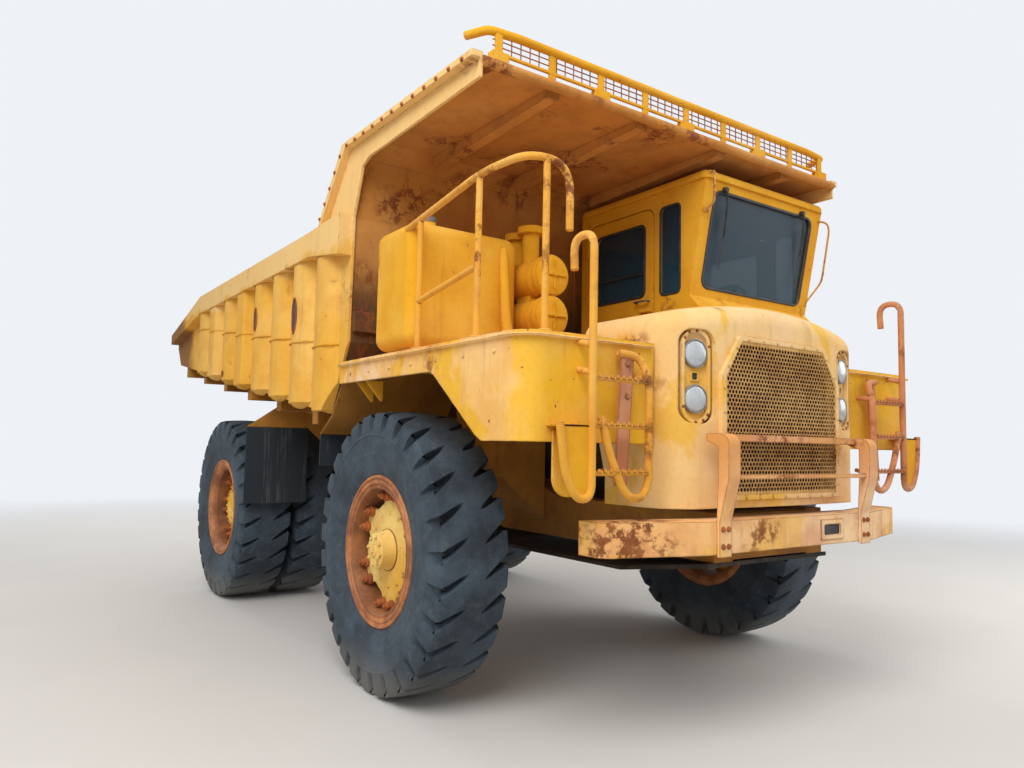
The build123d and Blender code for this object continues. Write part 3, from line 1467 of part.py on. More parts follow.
# Hoist cylinders: barrel on the frame's pin, middle sleeve and rod with the eye under the bed
reach_y = hoist_top_y - hoist_low_y
reach_z = hoist_top_z - hoist_low_z
hoist_l = (reach_y**2 + reach_z**2) ** 0.5
for side, name in ((-1, "right"), (1, "left")):
    foot = Plane(
        origin=(side * hoist_x, hoist_low_y, hoist_low_z),
        x_dir=(1, 0, 0),
        z_dir=(0, reach_y / hoist_l, reach_z / hoist_l),
    )
    mouth = hoist_l - barrel_end
    with BuildPart() as barrel:
        with BuildSketch(foot.offset(hoist_eye_r + 10)):
            Circle(barrel_r)
        extrude(amount=mouth - hoist_eye_r - 10)
        with BuildSketch(foot.offset(hoist_eye_r + 40)):
            Circle(sleeve_r + seat_gap)
        extrude(amount=hoist_l, mode=Mode.SUBTRACT)
        with BuildSketch(side_plane(side * hoist_x - hoist_eye_w / 2, hoist_low_y, hoist_low_z)):
            Circle(hoist_eye_r)
        extrude(amount=hoist_eye_w)
        with BuildSketch(foot):
            Rectangle(hoist_eye_w, 2 * hoist_eye_r)
        extrude(amount=hoist_eye_r + 12)
        with BuildSketch(side_plane(side * hoist_x - hoist_eye_w, hoist_low_y, hoist_low_z)):
            Circle(hoist_pin_r + seat_gap)
        extrude(amount=2 * hoist_eye_w, mode=Mode.SUBTRACT)
    barrel.part.label = f"hoist_barrel_{name}"
    export_step(barrel.part, f"parts/hoist_barrel_{name}.step")
    with BuildPart() as sleeve:
        with BuildSketch(foot.offset(hoist_eye_r + 45)):
            Circle(sleeve_r)
            Circle(hoist_rod_r + seat_gap, mode=Mode.SUBTRACT)
        extrude(amount=mouth - hoist_eye_r - 20)
    sleeve.part.label = f"hoist_sleeve_{name}"
    export_step(sleeve.part, f"parts/hoist_sleeve_{name}.step")
    with BuildPart() as rod:
        with BuildSketch(foot.offset(hoist_eye_r + 50)):
            Circle(hoist_rod_r)
        extrude(amount=hoist_l - 3 * hoist_eye_r - 50)
        with BuildSketch(foot.offset(hoist_l - 2 * hoist_eye_r - 1)):
            Rectangle(hoist_eye_w, hoist_rod_r)
        extrude(amount=hoist_eye_r + 20)
        with BuildSketch(side_plane(side * hoist_x - hoist_eye_w / 2, hoist_top_y, hoist_top_z)):
            Circle(hoist_eye_r - 8)
        extrude(amount=hoist_eye_w)
    rod.part.label = f"hoist_rod_{name}"
    export_step(rod.part, f"parts/hoist_rod_{name}.step")
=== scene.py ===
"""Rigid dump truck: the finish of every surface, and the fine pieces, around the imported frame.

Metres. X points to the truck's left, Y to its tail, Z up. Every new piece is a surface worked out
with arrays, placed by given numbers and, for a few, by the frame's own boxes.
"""

import json
import math

import bpy
import numpy as np
from mathutils import Matrix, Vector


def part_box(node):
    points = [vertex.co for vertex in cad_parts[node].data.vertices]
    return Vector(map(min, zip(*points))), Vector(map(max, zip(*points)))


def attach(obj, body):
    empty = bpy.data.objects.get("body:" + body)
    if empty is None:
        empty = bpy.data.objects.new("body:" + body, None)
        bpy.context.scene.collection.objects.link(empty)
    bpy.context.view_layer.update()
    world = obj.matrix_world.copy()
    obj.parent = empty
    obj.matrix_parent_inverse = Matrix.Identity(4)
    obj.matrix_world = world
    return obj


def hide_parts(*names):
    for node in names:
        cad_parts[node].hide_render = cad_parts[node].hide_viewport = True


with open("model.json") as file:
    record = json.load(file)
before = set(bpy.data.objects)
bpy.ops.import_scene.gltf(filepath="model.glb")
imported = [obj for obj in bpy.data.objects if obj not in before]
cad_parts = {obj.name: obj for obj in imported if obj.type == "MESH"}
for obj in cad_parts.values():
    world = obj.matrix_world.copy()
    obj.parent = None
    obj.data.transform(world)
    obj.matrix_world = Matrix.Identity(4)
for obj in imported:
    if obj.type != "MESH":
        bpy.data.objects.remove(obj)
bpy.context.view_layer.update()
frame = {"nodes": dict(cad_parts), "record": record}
nodes = frame["nodes"]


def middle(node):
    low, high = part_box(node)
    return (np.array(low) + np.array(high)) / 2


# Sides, and places that several sections share
SIDES = ((-1, "right"), (1, "left"))
TYRE_R = 0.9
FRONT_Y = float(middle("tyre_front_right")[1])
REAR_Y = float(middle("tyres_rear_right")[1])

# Camera, as the photograph was taken
CAMERA_AT = (-3.958, -6.7765, 1.594)
CAMERA_YAW = 35.15  # degrees to the right of +Y
CAMERA_PITCH = 4.56
CAMERA_ROLL = 1.15
CAMERA_LENS = 27.056
SENSOR_WIDTH = 36.0


# Colours


def rgb(r, g, b):
    """A colour given as screen values from 0 to 255, turned linear."""
    s = np.array([r, g, b]) / 255
    lin = np.where(s <= 0.04045, s / 12.92, ((s + 0.055) / 1.055) ** 2.4)
    return (*lin.tolist(), 1.0)


YELLOW = rgb(228, 164, 18)
YELLOW_DEEP = rgb(206, 132, 14)
YELLOW_BRIGHT = rgb(234, 178, 26)
CREAM = rgb(240, 200, 134)
CREAM_PINK = rgb(238, 198, 156)
HUB_CREAM = rgb(244, 214, 130)
BUMPER_RED = rgb(186, 84, 58)
RUST = rgb(128, 66, 34)
RUST_DARK = rgb(62, 36, 26)
RUST_ORANGE = rgb(176, 98, 44)
DIRT = rgb(104, 82, 58)
SOOT = rgb(26, 22, 20)


# Materials


class Tree:
    """Adds nodes to a material's tree and links them in one call each."""

    def __init__(self, name):
        self.material = bpy.data.materials.new(name)
        self.material.use_nodes = True
        self.nodes = self.material.node_tree.nodes
        self.links = self.material.node_tree.links
        self.shader = self.nodes["Principled BSDF"]
        self.coords = self.nodes.new("ShaderNodeTexCoord")

    def add(self, kind, settings=None, **inputs):
        node = self.nodes.new(kind)
        for key, value in (settings or {}).items():
            setattr(node, key, value)
        for key, value in inputs.items():
            socket = node.inputs[int(key[1:])] if key[0] == "i" and key[1:].isdigit() else node.inputs[key]
            self.give(socket, value)
        return node

    def give(self, socket, value):
        if isinstance(value, bpy.types.NodeSocket):
            self.links.new(value, socket)
        else:
            socket.default_value = value

    def place(self, scale=(1, 1, 1), offset=(0, 0, 0)):
        """Object coordinates, scaled and moved."""
        node = self.add("ShaderNodeMapping", i0=self.coords.outputs["Object"], i1=offset, i3=scale)
        return node.outputs[0]

    def noise(self, scale, detail=4.0, rough=0.55, stretch=(1, 1, 1), offset=(0, 0, 0), warp=0.0):
        made = dict(Scale=scale, Detail=detail, Roughness=rough, Distortion=warp)
        return self.add("ShaderNodeTexNoise", Vector=self.place(stretch, offset), **made).outputs["Fac"]

    def ramp(self, value, low, high):
        """0 below low, 1 above high, smooth between."""
        smooth = {"interpolation_type": "SMOOTHSTEP"}
        return self.add("ShaderNodeMapRange", smooth, i0=value, i1=low, i2=high).outputs[0]

    def math(self, operation, a, b=0.0, clamp=False):
        node = self.add("ShaderNodeMath", {"operation": operation, "use_clamp": clamp}, i0=a, i1=b)
        return node.outputs[0]

    def times(self, a, b):
        return self.math("MULTIPLY", a, b)

    def plus(self, a, b):
        return self.math("ADD", a, b)

    def mix(self, share, a, b):
        node = self.add("ShaderNodeMix", {"data_type": "RGBA"}, i0=share, i6=a, i7=b)
        return node.outputs[2]

    def edges(self, radius=0.012):
        """1 along worn edges: where the rounded normal leaves the true one."""
        bevel = self.add("ShaderNodeBevel", {"samples": 4}, Radius=radius)
        true = self.add("ShaderNodeNewGeometry").outputs["Normal"]
        dot = self.add("ShaderNodeVectorMath", {"operation": "DOT_PRODUCT"}, i0=bevel.outputs[0], i1=true)
        return self.ramp(dot.outputs["Value"], 0.97, 0.78), bevel.outputs[0]

    def height(self):
        """The point's height above the ground, in metres."""
        split = self.add("ShaderNodeSeparateXYZ", i0=self.coords.outputs["Object"])
        return split.outputs["Z"]

    def upward(self):
        """1 on faces that look up."""
        true = self.add("ShaderNodeNewGeometry").outputs["Normal"]
        return self.add("ShaderNodeSeparateXYZ", i0=true).outputs["Z"]

    def finish(self, colour, rough, bump=None, strength=0.3, distance=0.002, normal=None, **sockets):
        self.give(self.shader.inputs["Base Color"], colour)
        self.give(self.shader.inputs["Roughness"], rough)
        for key, value in sockets.items():
            self.shader.inputs[key.replace("_", " ")].default_value = value
        if bump is not None:
            made = self.add("ShaderNodeBump", Strength=strength, Distance=distance, Height=bump)
            if normal is not None:
                self.give(made.inputs["Normal"], normal)
            self.give(self.shader.inputs["Normal"], made.outputs[0])
        elif normal is not None:
            self.give(self.shader.inputs["Normal"], normal)
        return self.material


def aged_paint(name, base, deep, faded, fade=0.5, rust=0.5, dirt_and_shade=0.4, dirt_and_shade_top=1.2, patches=0.0, bands=()):
    """Old paint: bleached clouds, run-down streaks, chips and rust at edges and in patches, and a film of
    grime low down, which where it reaches high also stands in for painted shade.

    A band is (axis, start, end, colour, share): from start to end along its axis the colour takes over."""
    t = Tree(name)
    clouds = t.ramp(t.noise(0.9, 3, 0.6), 0.42, 0.66)
    blotch = t.ramp(t.noise(3.3, 5, 0.6, offset=(3, 1, 2)), 0.38, 0.7)
    colour = t.mix(t.times(clouds, fade), base, faded)
    if patches:
        shape = t.ramp(t.noise(1.6, 6, 0.62, stretch=(1, 1, 0.6), offset=(4, 7, 5), warp=0.6), 0.52, 0.58)
        colour = t.mix(t.times(shape, patches), colour, YELLOW_BRIGHT)
    colour = t.mix(t.times(blotch, 0.4), colour, deep)
    for axis, start, end, tone, share in bands:
        along = t.add("ShaderNodeSeparateXYZ", i0=t.coords.outputs["Object"]).outputs[axis]
        ragged = t.plus(along, t.times(t.noise(2.6, 5, 0.65, offset=(6, 3, 8)), 0.5))
        colour = t.mix(t.times(t.ramp(ragged, start + 0.25, end + 0.25), share), colour, tone)
    streak = t.ramp(t.noise(9.0, 4, 0.6, stretch=(1, 1, 0.08)), 0.56, 0.78)
    colour = t.mix(t.times(streak, 0.35 * dirt_and_shade + 0.08), colour, RUST)
    fine_streak = t.ramp(t.noise(42.0, 3, 0.6, stretch=(1, 1, 0.05), offset=(2, 2, 0)), 0.60, 0.74)
    colour = t.mix(t.times(fine_streak, 0.22), colour, deep)
    grain = t.ramp(t.noise(38, 6, 0.7), 0.45, 0.75)
    colour = t.mix(t.times(grain, 0.10), colour, DIRT)
    worn, rounded = t.edges(0.012)
    broken = t.noise(16, 6, 0.75, offset=(5, 2, 1))
    at_edge = t.times(worn, t.ramp(broken, 0.62 - 0.28 * rust, 0.72 - 0.2 * rust))
    where = t.ramp(t.noise(1.7, 3, 0.55, offset=(9, 4, 7)), 0.70 - 0.17 * rust, 0.80 - 0.15 * rust)
    patch = t.times(where, t.ramp(t.noise(11, 7, 0.75, offset=(1, 8, 3)), 0.47, 0.56))
    spots = t.times(t.ramp(t.noise(26, 2, 0.5, offset=(7, 7, 1)), 0.70, 0.74), t.ramp(blotch, 0.3, 0.9))
    rusty = t.math("MAXIMUM", t.math("MAXIMUM", at_edge, patch), spots, clamp=True)
    rust_tone = t.mix(t.noise(24, 5, 0.7), RUST_DARK, RUST_ORANGE)
    colour = t.mix(rusty, colour, rust_tone)
    # Grime low down; set to reach high, as on the underbody, it is also painted shade.
    low = t.ramp(t.height(), dirt_and_shade_top, 0.3)
    low = t.times(low, t.ramp(t.noise(5, 6, 0.7, offset=(2, 9, 4)), 0.25, 0.7))
    colour = t.mix(t.times(low, dirt_and_shade), colour, DIRT)
    rough = t.plus(t.plus(t.times(rusty, 0.35), t.times(blotch, 0.18)), 0.90)
    bump = t.plus(t.times(t.noise(2.2, 3), 6.0), t.times(rusty, -0.7))
    bump = t.plus(bump, t.times(t.noise(60, 3), 0.25))
    return t.finish(colour, rough, bump, 0.5, 0.002, rounded)


def rusted_metal(name, light, dark):
    """Bare rusty steel in two tones with a grainy surface."""
    t = Tree(name)
    colour = t.mix(t.ramp(t.noise(5, 7, 0.7), 0.35, 0.65), dark, light)
    worn, rounded = t.edges(0.008)
    colour = t.mix(t.times(worn, 0.5), colour, RUST_ORANGE)
    return t.finish(colour, 0.85, t.noise(70, 5, 0.7), 0.4, 0.002, rounded)


def dirty_iron(name):
    """Oily dark castings under a film of dust."""
    t = Tree(name)
    dust = t.ramp(t.upward(), 0.2, 1.0)
    colour = t.mix(t.ramp(t.noise(4, 6, 0.7), 0.35, 0.7), SOOT, rgb(78, 64, 50))
    colour = t.mix(t.times(dust, 0.5), colour, DIRT)
    return t.finish(colour, 0.75, t.noise(30, 6, 0.7), 0.4, 0.003, t.edges(0.01)[1])


def tyre_rubber():
    """Weathered blue-grey rubber, dusty in the low places."""
    t = Tree("tyre_rubber")
    colour = t.mix(t.ramp(t.noise(3, 6, 0.7), 0.35, 0.7), rgb(38, 48, 57), rgb(64, 78, 90))
    colour = t.mix(t.times(t.ramp(t.noise(14, 6, 0.75), 0.5, 0.8), 0.5), colour, rgb(104, 106, 102))
    colour = t.mix(t.times(t.ramp(t.height(), 0.35, 0.0), 0.6), colour, rgb(128, 122, 112))
    return t.finish(colour, 0.78, t.noise(45, 6, 0.7), 0.35, 0.002, t.edges(0.006)[1])


def flap_rubber():
    """Black rubber sheet with pale water runs."""
    t = Tree("flap_rubber")
    runs = t.ramp(t.noise(14, 5, 0.7, stretch=(1, 1, 0.06)), 0.55, 0.75)
    colour = t.mix(t.times(runs, 0.6), rgb(24, 32, 40), rgb(104, 104, 98))
    return t.finish(colour, 0.7, t.noise(12, 4), 0.4, 0.004)


def bare_steel(name="bare_steel", clean=rgb(150, 148, 142), dull=rgb(96, 88, 78)):
    """Dull steel with oily smears."""
    t = Tree(name)
    smear = t.noise(8, 5, 0.6)
    colour = t.mix(smear, clean, dull)
    return t.finish(colour, t.plus(t.times(smear, 0.4), 0.5), Metallic=1.0)


def black_plastic(name="cab_black"):
    """Dull moulded plastic with dust."""
    t = Tree(name)
    colour = t.mix(t.ramp(t.noise(9, 5), 0.4, 0.8), rgb(38, 38, 40), rgb(70, 66, 60))
    return t.finish(colour, 0.6, t.noise(160, 3), 0.15, 0.001)


def window_glass():
    """Dull tinted glass, part see-through, a little dusty in its lower part."""
    t = Tree("cab_glass")
    film = t.ramp(t.height(), 3.25, 2.75)
    colour = t.mix(t.times(film, 0.5), rgb(8, 52, 74), rgb(40, 84, 98))
    material = t.finish(colour, t.plus(t.times(film, 0.06), 0.5))
    t.shader.inputs["Alpha"].default_value = 0.6
    t.shader.inputs["IOR"].default_value = 1.5
    material.surface_render_method = "BLENDED"
    return material


def lamp_lens():
    """Thick pressed lamp glass: upright flutes over a pale reflector."""
    t = Tree("lamp_glass")
    flutes = {"bands_direction": "X"}
    wave = t.add("ShaderNodeTexWave", flutes, Vector=t.place(), Scale=14.0, Distortion=0.3)
    colour = t.mix(t.noise(9, 4), rgb(206, 212, 214), rgb(150, 156, 160))
    return t.finish(colour, 0.08, wave.outputs["Fac"], 0.35, 0.004, Coat_Weight=1.0)


def wheel_paint(name, y_mid, split):
    """Rusty rim outside the split radius, yellow hub inside it, and the recessed barrel between them darker.
    """
    t = Tree(name)
    here, hub_at = t.coords.outputs["Object"], (0, y_mid, TYRE_R)
    flat = t.add("ShaderNodeVectorMath", {"operation": "MULTIPLY"}, i0=here, i1=(0, 1, 1))
    away = t.add("ShaderNodeVectorMath", {"operation": "DISTANCE"}, i0=flat.outputs[0], i1=hub_at)
    outer = t.ramp(away.outputs["Value"], split - 0.006, split + 0.006)
    hub = t.mix(t.ramp(t.noise(6, 5, 0.6), 0.4, 0.7), YELLOW_BRIGHT, HUB_CREAM)
    rim = t.mix(t.ramp(t.noise(5, 6, 0.7), 0.35, 0.65), rgb(142, 82, 44), rgb(204, 132, 76))
    # Darker on the recessed barrel between rim and hub.
    barrel = t.ramp(away.outputs["Value"], 0.43, 0.395)
    rim = t.mix(t.times(barrel, 0.55), rim, rgb(96, 58, 34))
    colour = t.mix(outer, hub, rim)
    worn, rounded = t.edges(0.008)
    chips = t.times(worn, t.ramp(t.noise(22, 6, 0.75), 0.42, 0.56))
    colour = t.mix(chips, colour, RUST)
    colour = t.mix(t.times(t.ramp(t.noise(13, 6, 0.75, offset=(3, 5, 2)), 0.56, 0.72), 0.5), colour, DIRT)
    return t.finish(colour, 0.62, t.noise(50, 5, 0.7), 0.35, 0.002, rounded)


PAINT = aged_paint("yellow_paint", YELLOW, YELLOW_DEEP, rgb(234, 186, 84), fade=0.6, rust=0.42)
CAB_PAINT = aged_paint("cab_paint", YELLOW, YELLOW_DEEP, rgb(232, 180, 60), fade=0.4, rust=0.36)
NOSE_PAINT = aged_paint("faded_paint", CREAM, rgb(226, 172, 92), CREAM_PINK, 0.75, 0.3, patches=0.75)
FENDER_PAINT = aged_paint(
    "fender_paint", rgb(240, 190, 112), rgb(214, 140, 50), rgb(240, 202, 166), 0.95, 0.55, 0.5, patches=0.9,
    bands=[("Y", -3.66, -3.78, YELLOW_BRIGHT, 0.8)],
)  # fmt: skip
DECK_PAINT = aged_paint(
    "deck_paint", rgb(246, 206, 132), rgb(226, 160, 70), rgb(248, 218, 164), 0.7, 0.5, 0.3
)
BED_PAINT = aged_paint(
    "bed_paint", rgb(230, 172, 62), YELLOW_DEEP, rgb(238, 194, 110), 0.6, 0.55,
    bands=[("Z", 3.02, 3.10, CREAM, 0.75), ("Y", 3.2, 3.5, rgb(112, 62, 34), 0.8)],
)  # fmt: skip
CANOPY_PAINT = aged_paint(
    "canopy_paint", rgb(198, 132, 56), rgb(150, 88, 32), rgb(206, 152, 82), 0.6, 1.2, 0.6,
    bands=[("Z", 3.15, 2.55, rgb(56, 36, 24), 0.85)],
)  # fmt: skip
# Frame, cross members, axle, struts, guards, bed floor and knuckles: darker paint and dirt reaching up to 1.9
# m, painted shade under the body as well as real dirt.
UNDER_PAINT_SHADE_AND_DIRT = aged_paint(
    "under_paint_shade_and_dirt", rgb(176, 118, 34), rgb(110, 72, 30), rgb(168, 126, 70), 0.4, 0.7, 0.9, 1.9
)
BUMPER_PAINT = aged_paint(
    "rusty_paint", rgb(242, 186, 116), BUMPER_RED, rgb(246, 212, 168), 0.8, 1.0, 0.3, patches=0.45,
    bands=[("Z", 1.25, 1.6, rgb(204, 130, 78), 0.6)],
)  # fmt: skip
RAIL_PAINT = aged_paint(
    "rail_paint", rgb(228, 164, 52), rgb(196, 116, 40), rgb(234, 188, 112), 0.7, 1.1, 0.3
)
RAIL_RUSTY = aged_paint(
    "rail_rusty", rgb(206, 138, 92), rgb(150, 80, 50), rgb(224, 182, 150), 0.8, 1.4, 0.4
)
RUSTY = rusted_metal("rust_steel", RUST_ORANGE, RUST)
GRILLE_TAN = aged_paint(
    "grille_paint", rgb(212, 164, 92), rgb(150, 94, 44), rgb(226, 190, 128), 0.5, 0.7, 0.3
)
CHROME = bare_steel("lamp_chrome", rgb(190, 190, 186), rgb(120, 112, 100))
LENS = lamp_lens()
VINYL = black_plastic("seat_vinyl")
HUB_PAINT = aged_paint("hub_paint", rgb(236, 186, 74), YELLOW_DEEP, HUB_CREAM, 0.9, 0.4, 0.3, 0.5)
RIM_FRONT = wheel_paint("rim_front_paint", FRONT_Y, 0.30)
WHEEL_REAR = wheel_paint("wheel_rear_paint", REAR_Y, 0.335)
IRON = dirty_iron("cast_dark")
TYRE = tyre_rubber()
FLAP = flap_rubber()
STEEL = bare_steel()
BLACK = black_plastic()
GLASS = window_glass()

FINISH = {
    "yellow_paint": PAINT,
    "faded_paint": NOSE_PAINT,
    "canopy_paint": CANOPY_PAINT,
    "rusty_paint": BUMPER_PAINT,
    "rust_steel": RUSTY,
    "cast_dark": IRON,
    "bare_steel": STEEL,
    "tyre_rubber": TYRE,
    "flap_rubber": FLAP,
    "lamp_glass": STEEL,
    "cab_glass": GLASS,
    "seat_vinyl": BLACK,
    "cab_black": BLACK,
}
NODE_FINISH = {}
for finish, names in (
    (CAB_PAINT, "cab_shell cab_roof door_right door_left"),
    (FENDER_PAINT, "deck_right deck_left"),
    (BED_PAINT, "bed_side_right bed_side_left"),
    # Parts under the body take the darker paint: painted shade, with real dirt.
    (UNDER_PAINT_SHADE_AND_DIRT, "main_frame cross_members rear_axle struts guards bed_floor knuckle_right knuckle_left"),
    (WHEEL_REAR, "wheel_rear_right wheel_rear_left"),
):
    NODE_FINISH |= dict.fromkeys(names.split(), finish)
for part in frame["record"]["subparts"]:
    mesh = nodes[part["node"]].data
    mesh.materials.clear()
    mesh.materials.append(NODE_FINISH.get(part["node"], FINISH[part["material_slot"]]))


# Surfaces worked out with arrays


def strips(rows, cols, around=False, along=False):
    """Quads between the points of a grid; around joins the last column to the first, along the last row."""
    r = np.arange(rows if along else rows - 1)[:, None]
    c = np.arange(cols if around else cols - 1)[None, :]
    a, b = r * cols + c, r * cols + (c + 1) % cols
    d, e = (r + 1) % rows * cols + c, (r + 1) % rows * cols + (c + 1) % cols
    return np.stack([a, b, e, d], -1).reshape(-1, 4)


def capped(rows, cols):
    """Quads of a tube-like grid, with its two ends closed."""
    last = np.arange(cols)[None]
    return [strips(rows, cols, around=True), last[:, ::-1], last + (rows - 1) * cols]


def unit(v):
    return v / np.linalg.norm(v, axis=-1, keepdims=True)


def across_of(way):
    """Two directions square to way."""
    way = unit(np.asarray(way, float))
    side = unit(np.cross(way, (0.31, 0.52, 0.79)))
    return side, np.cross(way, side)


def spun(profile, centre, way=(1, 0, 0), sides=48, ring=False):
    """A profile of (distance along way, radius) turned about centre; a ring's profile is closed."""
    p = np.asarray(profile, float)
    turn = 2 * np.pi * np.arange(sides) / sides
    side, other = across_of(way)
    round_ = np.cos(turn)[:, None] * side + np.sin(turn)[:, None] * other
    along = p[:, 0, None, None] * unit(np.asarray(way, float))
    points = np.asarray(centre) + along + p[:, 1, None, None] * round_
    faces = strips(len(p), sides, True, True) if ring else capped(len(p), sides)
    return points.reshape(-1, 3), faces


def tube(path, radius, sides=8, closed=False, hint=(0.13, 0.27, 0.95), flat=1.0):
    """A circle, or an ellipse flattened by flat, carried along a path at right angles to it."""
    p = np.asarray(path, float)
    way = unit(np.roll(p, -1, 0) - np.roll(p, 1, 0)) if closed else unit(np.gradient(p, axis=0))
    side = unit(np.cross(way, hint))
    other = np.cross(way, side)
    turn = 2 * np.pi * np.arange(sides) / sides
    r = np.broadcast_to(np.asarray(radius, float), len(p))[:, None, None]
    ring = np.cos(turn)[:, None] * side[:, None] + flat * np.sin(turn)[:, None] * other[:, None]
    points = p[:, None] + r * ring
    faces = strips(len(p), sides, True, True) if closed else capped(len(p), sides)
    return points.reshape(-1, 3), faces


def bent(corners, radius, steps=5):
    """A path through corners, each rounded by a quadratic curve that starts radius before it."""
    p = np.asarray(corners, float)
    t = np.linspace(0, 1, steps)[:, None]
    path = [p[:1]]
    for before, corner, after in zip(p[:-2], p[1:-1], p[2:]):
        start = corner + unit(before - corner) * min(radius, np.linalg.norm(before - corner) * 0.49)
        end = corner + unit(after - corner) * min(radius, np.linalg.norm(after - corner) * 0.49)
        path.append((1 - t) ** 2 * start + 2 * t * (1 - t) * corner + t**2 * end)
    return np.concatenate([*path, p[-1:]])


def slab(outline, way):
    """A flat outline given a thickness along way."""
    p = np.asarray(outline, float)
    return np.concatenate([p, p + np.asarray(way)]), capped(2, len(p))


def rim_of(outer, inner, way):
    """A flat frame between two outlines of as many points, given a thickness along way."""
    outer, inner = np.asarray(outer, float), np.asarray(inner, float)
    way = np.asarray(way)
    return np.concatenate([outer, inner, inner + way, outer + way]), strips(4, len(outer), True, True)


def round_box(w, h, r, steps=6):
    """Outline of a rectangle with rounded corners, around the origin of a plane."""
    turn = np.linspace(0, np.pi / 2, steps)
    corner = np.stack([np.cos(turn), np.sin(turn)], -1) * r
    out = []
    for k, (sx, sy) in enumerate(((1, 1), (-1, 1), (-1, -1), (1, -1))):
        c, s = math.cos(k * math.pi / 2), math.sin(k * math.pi / 2)
        out.append(corner @ np.array([[c, s], [-s, c]]) + (sx * (w / 2 - r), sy * (h / 2 - r)))
    return np.concatenate(out)


def on_plane(flat, origin, u, v):
    """Points of a plane, placed by its origin and two directions."""
    flat = np.asarray(flat, float)
    return np.asarray(origin) + flat[:, :1] * np.asarray(u, float) + flat[:, 1:] * np.asarray(v, float)


def heads(at, way, r=0.016, tall=0.014, washer=1.35):
    """Bolt heads on washers: rings of twelve points, whose radius follows a hexagon above the washer."""
    at = np.atleast_2d(np.asarray(at, float))
    way = np.broadcast_to(unit(np.asarray(way, float)), at.shape)
    side = unit(np.cross(way, (0.31, 0.52, 0.79)))
    other = np.cross(way, side)
    turn = 2 * np.pi * np.arange(12) / 12
    hexagon = math.cos(math.pi / 6) / np.cos(turn % (math.pi / 3) - math.pi / 6)
    round_ = np.ones(12)
    rows = [(-0.004, washer * r, round_), (0.2 * tall, washer * r, round_), (0.2 * tall, r, hexagon)]
    rows += [(0.85 * tall, r, hexagon), (tall, 0.82 * r, round_)]
    high = np.array([h for h, _, _ in rows])[None, :, None, None]
    wide = np.array([w * shape for _, w, shape in rows])[None, :, :, None]
    circle = np.cos(turn)[:, None] * side[:, None, None] + np.sin(turn)[:, None] * other[:, None, None]
    points = at[:, None, None] + high * way[:, None, None] + wide * circle
    step = len(rows) * 12 * np.arange(len(at))[:, None, None]
    groups = [(g[None] + step).reshape(-1, g.shape[1]) for g in capped(len(rows), 12)]
    return points.reshape(-1, 3), groups


def circle_of(count, radius, centre, start=0.0):
    """Points evenly around a centre, in the plane square to X."""
    turn = start + 2 * np.pi * np.arange(count) / count
    return np.asarray(centre) + np.stack([0 * turn, np.cos(turn), np.sin(turn)], -1) * radius


def bead(path, width=0.007, wave=0.35):
    """A weld bead: a thin tube whose thickness ripples along its path."""
    p = np.asarray(path, float)
    length = np.concatenate([[0], np.cumsum(np.linalg.norm(np.diff(p, axis=0), axis=1))])
    count = max(int(length[-1] / 0.012), 4)
    s = np.linspace(0, length[-1], count)
    fine = np.stack([np.interp(s, length, p[:, k]) for k in range(3)], -1)
    return tube(fine, width * (1 + wave * np.sin(np.arange(count) * 2.1)), 6)


def piece(name, body, parts, material, replaces=(), sharp=34):
    """One object of closed surfaces, each (points, faces); a surface found inside out is turned."""
    points, loops, totals, base = [], [], [], 0
    for place, groups in parts:
        groups = groups if isinstance(groups, list) else [groups]
        volume = 0.0
        mid = place.mean(0)
        for g in groups:
            fan = place[g] - mid
            volume += np.einsum("ij,ikj->", fan[:, 0], np.cross(fan[:, 1:-1], fan[:, 2:]))
        for g in groups:
            loops.append((g if volume > 0 else g[:, ::-1]).ravel() + base)
            totals.append(np.full(len(g), g.shape[1]))
        points.append(place)
        base += len(place)
    points, loops, totals = np.concatenate(points), np.concatenate(loops), np.concatenate(totals)
    mesh = bpy.data.meshes.new(name)
    mesh.vertices.add(len(points))
    mesh.vertices.foreach_set("co", points.ravel())
    mesh.loops.add(len(loops))
    mesh.loops.foreach_set("vertex_index", loops.astype(np.int32))
    mesh.polygons.add(len(totals))
    mesh.polygons.foreach_set("loop_start", (np.cumsum(totals) - totals).astype(np.int32))
    mesh.polygons.foreach_set("loop_total", totals.astype(np.int32))
    mesh.update(calc_edges=True)
    mesh.validate()
    mesh.shade_smooth()
    mesh.set_sharp_from_angle(angle=math.radians(sharp))
    mesh.materials.append(material)
    made = bpy.data.objects.new(name, mesh)
    bpy.context.scene.collection.objects.link(made)
    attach(made, body)
    if replaces:
        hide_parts(*replaces)
    return made


# Tyres

GROOVES = 28
GROOVE_DEPTH = 0.058
GROOVE_LEAN = 0.62  # how far a groove climbs for each metre across the tread
